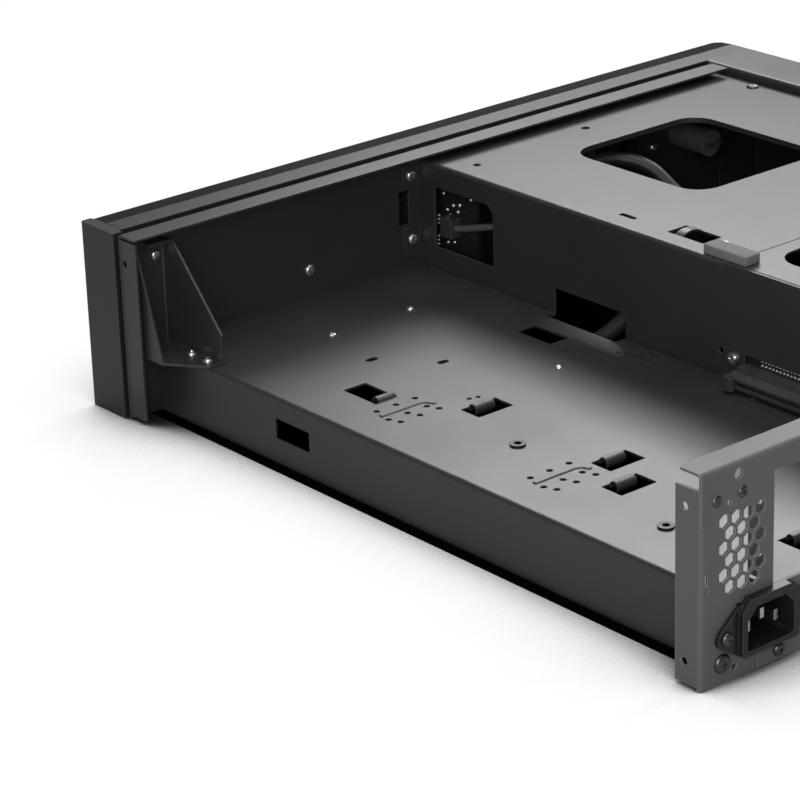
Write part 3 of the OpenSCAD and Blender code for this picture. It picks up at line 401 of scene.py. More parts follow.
@dataclass(frozen=True)
class BraidedSleeve:
    """The woven sleeve of a thin lead, laid by the lead's own UV map."""

    name: str
    level: float = 0.05
    strands: float = 4.0

    def material(self) -> Material:
        """Builds the sleeve's material."""
        graph = Graph(self.name)
        waves = []
        for lean in (math.pi / 4, -math.pi / 4):
            along = graph.place(turn=(0.0, 0.0, lean), source="UV")
            inputs = {"Vector": along, "Scale": self.strands}
            wave = graph.add("ShaderNodeTexWave", inputs, wave_type="BANDS")
            waves.append(wave.outputs["Fac"])
        weave = graph.sums("MULTIPLY", *waves)
        share = graph.span(weave, (0.1, 0.8), (0.0, 1.0))
        colour = graph.mix(share, grey(self.level * 0.35), grey(self.level * 1.5))
        rough = graph.span(weave, (0.0, 1.0), (0.62, 0.42))
        return graph.paint(colour, rough, Normal=graph.relief(weave, 0.7, 0.3))


@dataclass(frozen=True)
class FoamSkin:
    """Closed foam rubber with open pores on its cut faces."""

    name: str
    level: float = 0.11
    pore_scale: float = 1900.0
    fine_scale: float = 2600.0

    def material(self) -> Material:
        """Builds the foam's material."""
        graph = Graph(self.name)
        place = graph.place()
        pores = graph.grains(place, self.pore_scale)
        fine = graph.noise(place, self.fine_scale)
        # The pores are painted darker, a painted shade in their pits
        share = graph.span(pores, (0.12, 0.5), (0.0, 1.0))
        colour = graph.mix(share, grey(self.level * 0.75), grey(self.level * 1.1))
        height = graph.sums("ADD", pores, graph.sums("MULTIPLY", fine, 0.4))
        normal = graph.relief(height, 0.5, 0.2)
        return graph.paint(colour, graph.swing(fine, 0.8, 0.95), Normal=normal)


@dataclass(frozen=True)
class ClearPipe:
    """Clear moulded plastic with a faint frosting."""

    name: str
    clear: Colour = (0.72, 0.78, 0.84, 1.0)
    frosted: Colour = (0.86, 0.9, 0.94, 1.0)
    frost_scale: float = 1500.0

    def material(self) -> Material:
        """Builds the clear plastic's material."""
        graph = Graph(self.name)
        frost = graph.noise(graph.place(), self.frost_scale)
        colour = graph.mix(frost, self.clear, self.frosted)
        return graph.paint(colour, graph.swing(frost, 0.08, 0.2), Transmission_Weight=0.7)


@dataclass
class Finishes:
    """Every finish of the case, each made once."""

    made: dict[str, Material] = field(default_factory=dict)

    def build(self) -> None:
        """Makes the materials."""
        kinds = (
            PowderCoat("deck_coat", level=0.027),
            # The rear plate's edges are painted lighter still, a painted highlight
            PowderCoat("rear_coat", level=0.115, sheen=Sheen.DULL, edge=4.0, warm=0.01),
            BrushedCoat("front_lacquer", level=0.012, rough=0.4),
            # The bevel's lacquer is glossier and painted darker, a painted shade on the bevel
            BrushedCoat("bevel_lacquer", level=0.003, rough=0.12, shine=0.3),
            Moulding("black_moulding"),
            Moulding("slot_moulding", level=0.05, rough=0.33),
            # The switch's plastic is painted lighter than the other mouldings, painted light
            # standing in for light on the switch
            Moulding("switch_moulding", level=0.10, rough=0.4),
            # The inlet's edges are painted much lighter, a painted highlight
            Moulding("inlet_moulding", level=0.014, rough=0.34, edge=9.0),
            Moulding("lead_rubber", level=0.02, rough=0.42, grain_mm=0.5, relief=0.12),
            SolderMask("board_mask"),
            Plating("nickel", (0.80, 0.79, 0.77, 1.0)),
            Plating("blackened_steel", (0.16, 0.16, 0.165, 1.0), 0.28),
            Plating("oiled_steel", (0.05, 0.05, 0.052, 1.0), 0.3),
            Plating("contact_gold", (0.86, 0.64, 0.27, 1.0), 0.28),
            Plating("solder_tin", (0.93, 0.93, 0.92, 1.0), 0.42),
            BraidedSleeve("braided_sleeve", level=0.2),
            FoamSkin("foam_skin", level=0.2),
            ClearPipe("clear_pipe"),
        )
        for kind in kinds:
            self.made[kind.name] = kind.material()

    def __getitem__(self, name: str) -> Material:
        """Returns a finished material by name."""
        return self.made[name]


# ---- shared mesh work


def linked(name: str, data: Optional[bpy.types.ID]) -> Thing:
    """Makes an object and puts it in the scene."""
    thing = bpy.data.objects.new(name, data)
    bpy.context.scene.collection.objects.link(thing)
    return thing


def piece(name: str, mesh: Mesh, material: Optional[Material] = None,
          replaces: Sequence[str] = ()) -> Thing:
    """Makes a mesh a piece of the case's fixed body.

    Args:
        name: The piece's name.
        mesh: Its mesh, already in place.
        material: Its finish, where the mesh has none yet.
        replaces: The solids that it stands for.

    Returns:
        The new object.
    """
    if material is not None:
        mesh.materials.clear()
        mesh.materials.append(material)
    thing = linked(name, mesh)
    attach(thing, "chassis")
    if replaces:
        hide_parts(*replaces)
    LOG.info("%s: %d faces", name, len(mesh.polygons))
    return thing


def made(work: bmesh.types.BMesh, name: str) -> Mesh:
    """Ends a mesh under construction, with its faces turned outwards."""
    bmesh.ops.recalc_face_normals(work, faces=work.faces)
    mesh = bpy.data.meshes.new(name)
    work.to_mesh(mesh)
    work.free()
    return mesh


def around(sides: int) -> list[Pair]:
    """Gives the cosine and sine of every step of a full turn."""
    angles = [math.tau * step / sides for step in range(sides)]
    return [(math.cos(angle), math.sin(angle)) for angle in angles]


def lathe(profile: Sequence[Pair], sides: int = 24) -> Mesh:
    """Turns a profile about the Z axis.

    Args:
        profile: Radius and height pairs in millimetres, from the axis's top to its bottom.
        sides: How many steps the turn has.

    Returns:
        A closed mesh, in metres, whose faces point outwards.
    """
    work = bmesh.new()
    rings: list[Ring] = []
    for radius, height in profile:
        r, z = radius * MM, height * MM
        turns = around(sides) if radius > 1e-6 else [(0.0, 0.0)]
        rings.append([work.verts.new((r * c, r * s, z)) for c, s in turns])
    for upper, lower in zip(rings, rings[1:]):
        for k in range(sides):
            n = k + 1
            corners = [
                upper[k % len(upper)], lower[k % len(lower)],
                lower[n % len(lower)], upper[n % len(upper)],
            ]
            unique = list(dict.fromkeys(corners))
            if len(unique) > 2:
                work.faces.new(unique)
    return made(work, "lathe")


def joined(meshes: Iterable[Mesh]) -> Mesh:
    """Puts several meshes into one, each keeping its own material."""
    work = bmesh.new()
    result = bpy.data.meshes.new("joined")
    for mesh in meshes:
        first = len(work.faces)
        work.from_mesh(mesh)
        work.faces.ensure_lookup_table()
        for face in work.faces[first:]:
            finish = mesh.materials[face.material_index]
            if finish.name not in result.materials:
                result.materials.append(finish)
            face.material_index = result.materials.find(finish.name)
    work.to_mesh(result)
    work.free()
    return result


def smooth(mesh: Mesh, angle: float) -> Mesh:
    """Shades a mesh smooth, and keeps the edges sharper than an angle in degrees."""
    mesh.shade_smooth()
    mesh.set_sharp_from_angle(angle=math.radians(angle))
    return mesh


def cut(target: Mesh, cutter: Mesh) -> Mesh:
    """Cuts one mesh out of another."""
    body, tool = linked("cut_body", target), linked("cut_tool", cutter)
    modifier = body.modifiers.new("cut", "BOOLEAN")
    modifier.operation = "DIFFERENCE"
    modifier.solver = "EXACT"
    modifier.object = tool
    mesh = evaluated(body)
    for thing in (body, tool):
        bpy.data.objects.remove(thing)
    return mesh


def evaluated(thing: Thing) -> Mesh:
    """Gives an object's mesh with its modifiers applied."""
    bpy.context.view_layer.update()
    graph = bpy.context.evaluated_depsgraph_get()
    return bpy.data.meshes.new_from_object(thing.evaluated_get(graph))


# ---- geometry nodes


class Pattern(NodeWork):
    """A geometry-nodes tree with named inputs, which ends in real faces of one finish."""

    def __init__(self, name: str, inputs: dict[str, str]) -> None:
        """Starts the tree. The inputs are kinds by name, besides the two of every tree."""
        super().__init__(bpy.data.node_groups.new(name, "GeometryNodeTree"))
        face = self.tree.interface
        kinds = {"Geometry": "Geometry", "Finish": "Material", **inputs}
        self.sockets = {
            key: face.new_socket(key, in_out="INPUT", socket_type="NodeSocket" + kind)
            for key, kind in kinds.items()
        }
        face.new_socket("Geometry", in_out="OUTPUT", socket_type="NodeSocketGeometry")
        self.entry = self.add("NodeGroupInput").outputs

    def close(self, instances: Socket) -> None:
        """Realizes the copies, gives them their finish and ends the tree."""
        real = self.add("GeometryNodeRealizeInstances", {"Geometry": instances})
        coat = self.add("GeometryNodeSetMaterial", {
            "Geometry": real.outputs["Geometry"], "Material": self.entry["Finish"],
        })
        self.add("NodeGroupOutput", {"Geometry": coat.outputs["Geometry"]})

    def run(self, source: Mesh, values: dict[str, object]) -> Mesh:
        """Runs the tree on a mesh.

        Args:
            source: The mesh that the tree starts from.
            values: A value for each named input.

        Returns:
            The finished mesh, with the modifier gone.
        """
        holder = linked("pattern_holder", source)
        modifier = holder.modifiers.new("pattern", "NODES")
        modifier.node_group = self.tree
        for name, value in values.items():
            modifier[self.sockets[name].identifier] = value
        mesh = evaluated(holder)
        bpy.data.objects.remove(holder)
        return mesh


class ScatterPattern(Pattern):
    """Sets a copy of a piece on each point, turned as the point's own attribute says."""

    def __init__(self) -> None:
        """Builds the tree."""
        super().__init__("scatter", {"Piece": "Object"})
        info = self.add("GeometryNodeObjectInfo", {"Object": self.entry["Piece"]})
        turn = self.add("GeometryNodeInputNamedAttribute", {"Name": "turn"},
                        data_type="FLOAT_VECTOR")
        rotation = self.add("FunctionNodeEulerToRotation", {"Euler": turn.outputs["Attribute"]})
        copies = self.add("GeometryNodeInstanceOnPoints", {
            "Points": self.entry["Geometry"], "Instance": info.outputs["Geometry"],
            "Rotation": rotation.outputs["Rotation"],
        })
        self.close(copies.outputs["Instances"])

    def lay(self, shape: Mesh, spots: Sequence[Spot], finish: Material,
            spin: float = 0.0) -> Mesh:
        """Lays copies of a shape on spots of the case.

        Args:
            shape: The shape, with its seat at the origin and its head along Z.
            spots: A point and a facing for each copy, in the case's own axes.
            finish: The copies' finish.
            spin: How far each copy is turned on from the one before, in radians.

        Returns:
            The copies as one mesh.
        """
        points = bpy.data.meshes.new("spots")
        points.from_pydata([at(*spot) for spot, _ in spots], [], [])
        turns = points.attributes.new("turn", "FLOAT_VECTOR", "POINT")
        for index, (_, way) in enumerate(spots):
            onward = Quaternion(UP, spin * index)
            rotation = turned(*way).to_track_quat("Z", "Y") @ onward
            turns.data[index].vector = rotation.to_euler()
        sample = linked("scatter_piece", shape)
        mesh = self.run(points, {"Piece": sample, "Finish": finish})
        bpy.data.objects.remove(sample)
        return mesh


class RowPattern(Pattern):
    """Sets small blocks in a straight row, or in a field of rows."""

    def __init__(self) -> None:
        """Builds the tree."""
        super().__init__("rows", {
            "Count": "Int", "Rows": "Int", "Start": "Vector", "Pitch": "Vector",
            "Row Pitch": "Vector", "Block": "Vector",
        })
        entry = self.entry
        line = self.add("GeometryNodeMeshLine", {
            "Count": entry["Count"], "Offset": entry["Pitch"],
        }, mode="OFFSET")
        stack = self.add("GeometryNodeMeshLine", {
            "Count": entry["Rows"], "Start Location": entry["Start"],
            "Offset": entry["Row Pitch"],
        }, mode="OFFSET")
        rows = self.add("GeometryNodeInstanceOnPoints", {
            "Points": stack.outputs["Mesh"], "Instance": line.outputs["Mesh"],
        })
        real = self.add("GeometryNodeRealizeInstances", {"Geometry": rows.outputs["Instances"]})
        cube = self.add("GeometryNodeMeshCube", {"Size": entry["Block"]})
        copies = self.add("GeometryNodeInstanceOnPoints", {
            "Points": real.outputs["Geometry"], "Instance": cube.outputs["Mesh"],
        })
        self.close(copies.outputs["Instances"])

    def lay(self, start: Point, count: int, pitch: Point, size: Point, finish: Material,
            rows: int = 1, row_pitch: Point = (0.0, 0.0, 0.0)) -> Mesh:
        """Lays a row or a field of blocks, in the case's own axes and millimetres.

        Args:
            start: The middle of the first block.
            count: Blocks in a row.
            pitch: The step from one block to the next.
            size: Each block's size.
            finish: The blocks' finish.
            rows: How many rows there are.
            row_pitch: The step from one row to the next.

        Returns:
            The blocks as one mesh.
        """
        return self.run(bpy.data.meshes.new("row"), {
            "Count": count, "Rows": rows, "Start": at(*start), "Finish": finish,
            "Pitch": turned(*pitch) * MM, "Row Pitch": turned(*row_pitch) * MM,
            "Block": Vector(size) * MM,
        })


# ---- leads


def through(points: Sequence[Point], parts: int) -> list[Vector]:
    """Gives points on a smooth curve through others, in the part's frame.

    Args:
        points: The points that the curve passes, in the case's own axes.
        parts: How many steps lie between two of them.

    Returns:
        The points along the curve.
    """
    given = [at(*p) for p in points]
    last = len(given) - 1
    found: list[Vector] = []
    for i in range(last):
        a, b, c, d = given[max(i - 1, 0)], given[i], given[i + 1], given[min(i + 2, last)]
        for k in range(parts):
            t = k / parts
            bend = (2 * a - 5 * b + 4 * c - d) * t * t
            twist = (3 * b - a - 3 * c + d) * t ** 3
            found.append(0.5 * (2 * b + (c - a) * t + bend + twist))
    found.append(given[last])
    return found


def tube(path: Sequence[Vector], radius: float, sides: int) -> Mesh:
    """Sweeps a closed round tube along points, with a UV map that runs with it.

    Args:
        path: The points, in metres.
        radius: The radius, in millimetres.
        sides: How many sides the tube has.

    Returns:
        The tube's mesh.
    """
    work = bmesh.new()
    layer = work.loops.layers.uv.new("along")
    lengths = [0.0]
    for a, b in zip(path, path[1:]):
        lengths.append(lengths[-1] + (b - a).length)
    r = radius * MM
    side = None
    rings: list[Ring] = []
    for i, spot in enumerate(path):
        ahead = (path[min(i + 1, len(path) - 1)] - path[max(i - 1, 0)]).normalized()
        if side is None:
            side = ahead.cross(Vector(UP)).normalized()
        side = (side - ahead * side.dot(ahead)).normalized()
        up = side.cross(ahead)
        rings.append([work.verts.new(spot + r * (c * side + s * up)) for c, s in around(sides)])
    for i in range(len(rings) - 1):
        for k in range(sides):
            n = (k + 1) % sides
            face = work.faces.new((rings[i][k], rings[i][n], rings[i + 1][n], rings[i + 1][k]))
            values = ((k, i), (k + 1, i), (k + 1, i + 1), (k, i + 1))
            for loop, (across, down) in zip(face.loops, values):
                loop[layer].uv = (across / sides, lengths[down] / (math.tau * r))
    work.faces.new(rings[0])
    work.faces.new(list(reversed(rings[-1])))
    return smooth(made(work, "tube"), 50.0)


# ---- the case's pieces


@dataclass
class SheetMetal:
    """The folded sheets and other solids that keep their own shape."""

    coats: dict[str, tuple[str, ...]] = field(default_factory=lambda: {
        "deck_coat": (
            "bay_floor", "divider_deck", "board_tray", "front_wall", "side_rail",
            "corner_gusset",
        ),
        "rear_coat": ("rear_plate",),
        "front_lacquer": ("end_cap", "power_button", "reset_button"),
        "board_mask": ("riser_board", "io_board"),
        "slot_moulding": ("riser_slot", "riser_latch", "panel_plug"),
        "inlet_moulding": ("mains_inlet",),
        "black_moulding": ("lead_clip", "audio_jacks", "reset_switch"),
        # The switch's lighter grey is painted light
        "switch_moulding": ("power_switch",),
        "lead_rubber": ("lead_socket",),
        "nickel": ("riser_screws", "board_standoffs", "usb_ports", "inlet_pins", "switch_pins"),
        "oiled_steel": ("floor_nuts",),
    })

    def dress(self, nodes: dict[str, Thing], finishes: Finishes) -> None:
        """Gives each solid its finish."""
        for coat, names in self.coats.items():
            for name in names:
                for holder in nodes[name].material_slots:
                    holder.material = finishes[coat]
            LOG.info("%s: %s", coat, ", ".join(names))


@dataclass
class FrontBar:
    """The front bar, whose bevel along the top front edge is long, shallow and polished, its
    lacquer there glossier and painted darker as shade.

    The solid's bevel runs from rough_start to the front face and falls by rough_drop. The
    finished one runs from flat_end and falls by drop.
    """

    flat_end: float = 357.7
    drop: float = 0.7
    rough_start: float = 363.0
    rough_drop: float = 1.7
    seam_x: float = 6.0
    seam: float = 0.4
    seam_reach: float = 0.9
    line_slack: float = 0.03
    slope_slack: float = 0.05
    tilt: Pair = (0.98, 0.99999)
    top_band: float = 1.0

    def bent(self, x: float, y: float, z: float) -> Point:
        """Gives a corner of the solid bar its place on the finished bar, in millimetres."""
        if abs(x - self.seam_x) < self.seam_reach:
            x += self.seam
        rough_share = (y - self.rough_start) / (CASE_D - self.rough_start)
        at_top = abs(z - CASE_H) < self.line_slack
        if abs(y - self.rough_start) < self.line_slack and at_top:
            y = self.flat_end
        elif (y > self.rough_start
              and abs(z - (CASE_H - self.rough_drop * rough_share)) < self.slope_slack):
            z = CASE_H - self.drop * (y - self.flat_end) / (CASE_D - self.flat_end)
        return (x, y, z)

    def build(self, solid: Thing, finishes: Finishes) -> None:
        """Builds the bar from the solid one."""
        work = bmesh.new()
        work.from_mesh(solid.data)
        work.transform(solid.matrix_world)
        for vertex in work.verts:
            x = CASE_W / 2 - vertex.co.x / MM
            y = (CASE_D - INLET_PROUD) / 2 - vertex.co.y / MM
            vertex.co = at(*self.bent(x, y, vertex.co.z / MM))
        bmesh.ops.remove_doubles(work, verts=work.verts, dist=1e-6)
        bmesh.ops.recalc_face_normals(work, faces=work.faces)
        for face in work.faces:
            tilted = self.tilt[0] < face.normal.z < self.tilt[1]
            high = face.calc_center_median().z > (CASE_H - self.top_band) * MM
            # The bevel's faces get the darker lacquer, a painted shade
            face.material_index = 1 if tilted and high else 0
            face.smooth = False
        mesh = made(work, "front_bar")
        mesh.materials.append(finishes["front_lacquer"])
        mesh.materials.append(finishes["bevel_lacquer"])
        piece("front_bar_bevelled", smooth(mesh, 2.0), replaces=["front_panel"])


@dataclass
class Screw:
    """Screws of one size, with their spots. The head is given by its radius and rise."""

    spots: list[Spot]
    head: float = 2.8
    rise: float = 1.5
    shank: float = 1.5
    length: float = 3.0
    tip: float = 0.5
    tip_share: float = 0.7
    sides: int = 28
    cross_reach: float = 0.72
    cross_width: float = 0.34
    cross_depth: float = 0.62
    cross_lift: float = 0.05
    crown: tuple[Pair, ...] = (
        (0.0, 1.0), (0.35, 0.99), (0.62, 0.92), (0.84, 0.7), (0.96, 0.38), (1.0, 0.12),
        (0.98, 0.0),
    )

    def shape(self) -> Mesh:
        """Turns one screw, with its seat at the origin, and cuts the cross into its head."""
        shank, length = self.shank, self.length
        profile = [(self.head * out, self.rise * up) for out, up in self.crown]
        profile += [(shank, 0.0), (shank, -length + self.tip), (shank * self.tip_share, -length)]
        shape = lathe(profile + [(0.0, -length)], self.sides)
        for angle in (0.0, math.pi / 2):
            arm = lathe([(0.0, 1.0), (1.0, 1.0), (0.55, -1.0), (0.0, -1.0)], 4)
            arm.transform(Matrix.Rotation(math.pi / 4, 4, "Z"))
            arm.transform(Matrix.Diagonal(
                (self.head * self.cross_reach, self.cross_width, self.cross_depth, 1.0)))
            lift = (self.rise + self.cross_lift) * MM
            arm.transform(Matrix.Translation((0.0, 0.0, lift)))
            arm.transform(Matrix.Rotation(angle, 4, "Z"))
            shape = cut(shape, arm)
        return smooth(shape, 40.0)


@dataclass
class ScrewSet:
    """The turned screws that stand for one node of plain screws."""

    node: str
    finish: str
    slot: str
    sizes: list[Screw]
    spin: float = 0.9

    def build(self, scatter: ScatterPattern, finishes: Finishes) -> None:
        """Sets the screws on their spots."""
        finish = finishes[self.finish]
        laid = [scatter.lay(size.shape(), size.spots, finish, self.spin) for size in self.sizes]
        piece(self.node + "_turned", joined(laid), replaces=[self.node])


@dataclass
class Fasteners:
    """All the screws of the case."""

    bright: Sequence[str] = ("nickel", "bright_steel")
    black: Sequence[str] = ("blackened_steel", "black_screw")

    def sets(self) -> list[ScrewSet]:
        """Lists the screws by the solid that they stand for."""
        seat = WALL_Y - SHEET
        floor = upward([(77.0, 298.0), (121.0, 203.3), (120.8, 298.3)], FLOOR_TOP)
        front = backward([(100.7, 41.7), (329.0, 70.0), (310.3, 49.3), (240.0, 20.0)], WALL_Y)
        front += backward([(362.0, 14.0), (362.0, 70.0), (159.0, 71.6), (159.0, 41.6)], seat)
        plate = backward([(60.0, 20.0), (140.0, 20.0), (366.0, 12.0), (366.0, 70.0)], 0.0)
        corner, foot = backward([(10.6, 8.1)], 0.0), backward([(38.8, 4.0)], 0.0)
        vents = backward([(20.0, 70.9), (7.5, 70.9)], 0.0)
        deck = upward([(344.0, y) for y in (30.0, 120.0, 180.0, 310.0)], DECK_TOP)
        gusset = upward([(19.3, 308.8), (19.1, 319.8)], FLOOR_TOP + SHEET)
        gusset += backward([(18.5, 70.0)], seat)
        ears = backward([(11.4, 17.8), (51.4, 17.8)], -1.7)
        return [
            ScrewSet("floor_screws", *self.bright, [Screw(floor, head=1.9, rise=0.8, shank=1.45)]),
            ScrewSet("front_screws", *self.bright, [Screw(front, length=4.6)]),
            ScrewSet("rear_screws", *self.black, [
                Screw(plate), Screw(corner, head=3.8, rise=1.7), Screw(foot, head=2.7, rise=1.7),
                Screw(vents, head=2.2, rise=0.9, shank=1.2, length=2.6),
            ]),
            ScrewSet("deck_screws", *self.black, [Screw(deck, head=3.0, rise=1.3, length=4.0)]),
            ScrewSet("gusset_screws", *self.bright, [Screw(gusset, head=2.5, length=3.6)]),
            ScrewSet("inlet_screws", *self.black, [Screw(ears, head=2.7, length=5.0)]),
        ]

    def build(self, scatter: ScatterPattern, finishes: Finishes) -> None:
        """Builds every set of screws."""
        for screws in self.sets():
            screws.build(scatter, finishes)


@dataclass
class Boards:
    """What is soldered to the two circuit boards, in the case's own axes."""

    joint_form: tuple[Pair, ...] = (
        (0.0, 0.95), (0.36, 0.9), (0.45, 0.45), (0.8, 0.2), (1.0, 0.0), (0.0, 0.0),
    )
    pin_r: float = 0.62
    pin_x: float = 164.5
    pin_start: float = 49.6
    pin_rows: Pair = (39.4, 41.4)
    pin_columns: int = 41
    pin_pitch: float = 2.0
    contact: Point = (6.4, 0.5, 0.2)
    contact_start: Pair = (157.1, 49.8)
    contact_levels: Pair = (33.62, 35.18)
    contact_count: int = 82
    finger: Point = (0.06, 0.66, 5.0)
    finger_sides: Pair = (164.48, 166.12)
    finger_z: float = 66.4
    finger_runs: tuple[tuple[float, int], ...] = ((48.4, 11), (62.4, 71))
    chip: Point = (0.8, 1.6, 0.9)
    chip_start: Point = (166.5, 56.0, 47.0)
    chip_count: int = 16
    chip_pitch: Point = (0.0, 4.6, 0.0)
    chip_rows: int = 2
    chip_row_pitch: Point = (0.0, 1.3, 6.2)
    port_r: float = 0.95
    port_x: float = 172.0
    port_dots: tuple[Pair, ...] = (
        (337.9, 50.6), (338.0, 48.8), (338.1, 46.9), (332.0, 54.7), (327.8, 57.6),
        (323.5, 58.7), (324.7, 55.2), (330.2, 52.5), (338.3, 40.8), (338.4, 38.8),
        (338.5, 36.8), (330.3, 42.8), (332.0, 39.2), (327.5, 40.3), (334.4, 61.8),
        (315.8, 63.1),
    )

    def joints(self, name: str, radius: float, spots: list[Point], scatter: ScatterPattern,
               tin: Material) -> None:
        """Builds a board's soldered joints, each with its pin's end."""
        profile = [(radius * out, up) for out, up in self.joint_form]
        shape = smooth(lathe(profile, 12), 60.0)
        facing = [(spot, TO_BAY) for spot in spots]
        piece(name, scatter.lay(shape, facing, tin))

    def contacts(self, rows: RowPattern, gold: Material) -> None:
        """Builds the slot's contacts and the riser's own edge contacts."""
        inside = joined(
            rows.lay((*self.contact_start, z), self.contact_count, FORWARD, self.contact, gold)
            for z in self.contact_levels
        )
        piece("riser_contacts", inside)
        edge = joined(
            rows.lay((x, start, self.finger_z), count, FORWARD, self.finger, gold)
            for start, count in self.finger_runs for x in self.finger_sides
        )
        piece("riser_edge_contacts", edge)

    def build(self, scatter: ScatterPattern, rows: RowPattern, finishes: Finishes) -> None:
        """Builds joints, contacts and small parts of the boards."""
        tin = finishes["solder_tin"]
        dots = [(self.port_x, y, z) for y, z in self.port_dots]
        self.joints("port_board_joints", self.port_r, dots, scatter, tin)
        steps = [self.pin_start + self.pin_pitch * k for k in range(self.pin_columns)]
        pins = [(self.pin_x, y, z) for y in steps for z in self.pin_rows]
        self.joints("riser_joints", self.pin_r, pins, scatter, tin)
        self.contacts(rows, finishes["contact_gold"])
        chips = rows.lay(self.chip_start, self.chip_count, self.chip_pitch, self.chip,
                         finishes["foam_skin"], self.chip_rows, self.chip_row_pitch)
        piece("riser_capacitors", chips)


@dataclass
class Leads:
    """The mains lead and the port lead.

    Each follows the solids' route, but the mains lead sags between its two saddles under
    the deck, as the photograph shows little of it there.
    """

    mains: tuple[Point, ...] = (
        (31.4, 24.3, 19.0), (31.4, 44.0, 19.0), (35.0, 80.0, 19.2), (48.0, 115.0, 20.0),
        (70.0, 150.0, 20.4), (95.0, 185.0, 20.4), (118.0, 214.0, 20.4), (135.0, 229.0, 20.4),
        (148.0, 230.5, 20.6), (157.0, 226.0, 22.8), (163.0, 220.0, 28.0), (167.6, 214.6, 34.8),
        (171.5, 209.0, 42.9), (174.5, 203.0, 52.0), (177.5, 198.0, 60.6), (183.0, 195.5, 67.0),
        (192.0, 197.0, 70.6), (202.0, 203.0, 71.4), (224.0, 208.0, 67.0), (243.0, 219.0, 64.5),
        (256.0, 234.0, 60.0), (262.5, 250.0, 52.0), (264.8, 266.0, 47.5), (264.0, 280.0, 53.0),
        (260.0, 293.0, 62.5), (252.0, 304.1, 66.2), (238.0, 312.0, 66.0), (224.0, 315.9, 65.8),
    )
    panel: tuple[Point, ...] = (
        (169.2, 322.7, 48.6), (169.2, 316.0, 50.4), (169.2, 308.0, 52.7), (169.2, 298.0, 55.6),
        (169.2, 288.0, 58.7), (169.4, 271.2, 62.5), (169.8, 251.9, 65.8), (170.8, 234.2, 68.7),
        (172.2, 216.6, 70.6), (174.0, 204.0, 71.1),
    )
    mains_r: float = 3.45
    panel_r: float = 1.55
    steps: int = 6

    def build(self, finishes: Finishes) -> None:
        """Builds both leads."""
        mains = tube(through(self.mains, self.steps), self.mains_r, 20)
        rubber = finishes["lead_rubber"]
        piece("mains_lead_sheath", mains, rubber, ["power_lead"])
        sleeve = tube(through(self.panel, self.steps), self.panel_r, 14)
        braid = finishes["braided_sleeve"]
        piece("port_lead_sleeve", sleeve, braid, ["panel_lead"])


@dataclass
class CoverPad:
    """The foam block that the cover rests on."""

    low: Point = (164.8, 140.0, DECK_TOP)
    high: Point = (173.4, 163.8, CASE_H)
    edge: float = 0.5

    def build(self, finishes: Finishes) -> None:
        """Builds the block with softened edges."""
        work = bmesh.new()
        bmesh.ops.create_cube(work, size=1.0)
        for vertex in work.verts:
            ends = zip(self.low, self.high, vertex.co)
            vertex.co = at(*(low + (high - low) * (share + 0.5) for low, high, share in ends))
        bmesh.ops.recalc_face_normals(work, faces=work.faces)
        work.normal_update()
        bmesh.ops.bevel(work, geom=list(work.edges), offset=self.edge * MM, segments=3,
                        affect="EDGES", profile=0.5)
        mesh = smooth(made(work, "pad"), 50.0)
        skin = finishes["foam_skin"]
        foam = piece("cover_pad_foam", mesh, skin, ["cover_pad"])


@dataclass
class StatusLight:
    """The light pipe in the front bar. Its profile's heights start at the front wall."""

    x: float = 275.0
    z: float = 53.0
    profile: tuple[Pair, ...] = (
        (0.0, 25.8), (0.7, 25.68), (1.15, 25.38), (1.35, 24.9), (1.35, 0.0), (2.6, 0.0),
        (2.6, -3.6), (2.3, -4.0), (0.0, -4.0),
    )

    def build(self, scatter: ScatterPattern, finishes: Finishes) -> None:
        """Builds the pipe with its domed end and its collar."""
        shape = smooth(lathe(self.profile, 28), 40.0)
        spot = ((self.x, WALL_Y, self.z), FORWARD)
        mesh = scatter.lay(shape, [spot], finishes["clear_pipe"])
        piece("status_light_pipe", mesh, replaces=["status_lens"])


# ---- camera and studio


@dataclass
class PhotoCamera:
    """The camera, solved from the photograph: its place in metres, its turns in degrees."""

    lens: float = 142.893
    sensor: float = 36.0
    near: float = 0.02
    stand: Point = (0.88819, 0.87750, 0.51887)
    yaw: float = 39.243
    pitch: float = 22.427
    roll: float = 1.936

    def build(self) -> None:
        """Places the camera and makes it the scene's own."""
        yaw, pitch, roll = (math.radians(a) for a in (self.yaw, self.pitch, self.roll))
        flat = math.cos(pitch)
        ahead = Vector((math.sin(yaw) * flat, math.cos(yaw) * flat, -math.sin(pitch)))
        right = Vector((math.cos(yaw), -math.sin(yaw), 0.0))
        down = ahead.cross(right)
        across = math.cos(roll) * right + math.sin(roll) * down
        fall = -math.sin(roll) * right + math.cos(roll) * down
        turn = Matrix.Rotation(math.pi, 3, "Z")
        axes = [turn @ across, turn @ -fall, turn @ -ahead]
        data = bpy.data.cameras.new("photo_camera")
        data.sensor_width = self.sensor
        data.lens = self.lens
        data.clip_start = self.near
        camera = linked("photo_camera", data)
        place = Matrix(axes).transposed().to_4x4()
        place.translation = Vector(self.stand)
        camera.matrix_world = place
        bpy.context.scene.camera = camera


@dataclass
class Lamp:
    """A soft box that looks at a point, in metres and watts."""

    name: str
    stand: Point
    target: Point
    size: Pair
    power: float

    def build(self) -> None:
        """Places the soft box."""
        data = bpy.data.lights.new(self.name, "AREA")
        data.shape = "RECTANGLE"
        data.size, data.size_y = self.size
        data.energy = self.power
        lamp = linked(self.name, data)
        lamp.location = self.stand
        look = Vector(self.target) - Vector(self.stand)
        lamp.rotation_euler = look.to_track_quat("-Z", "Y").to_euler()


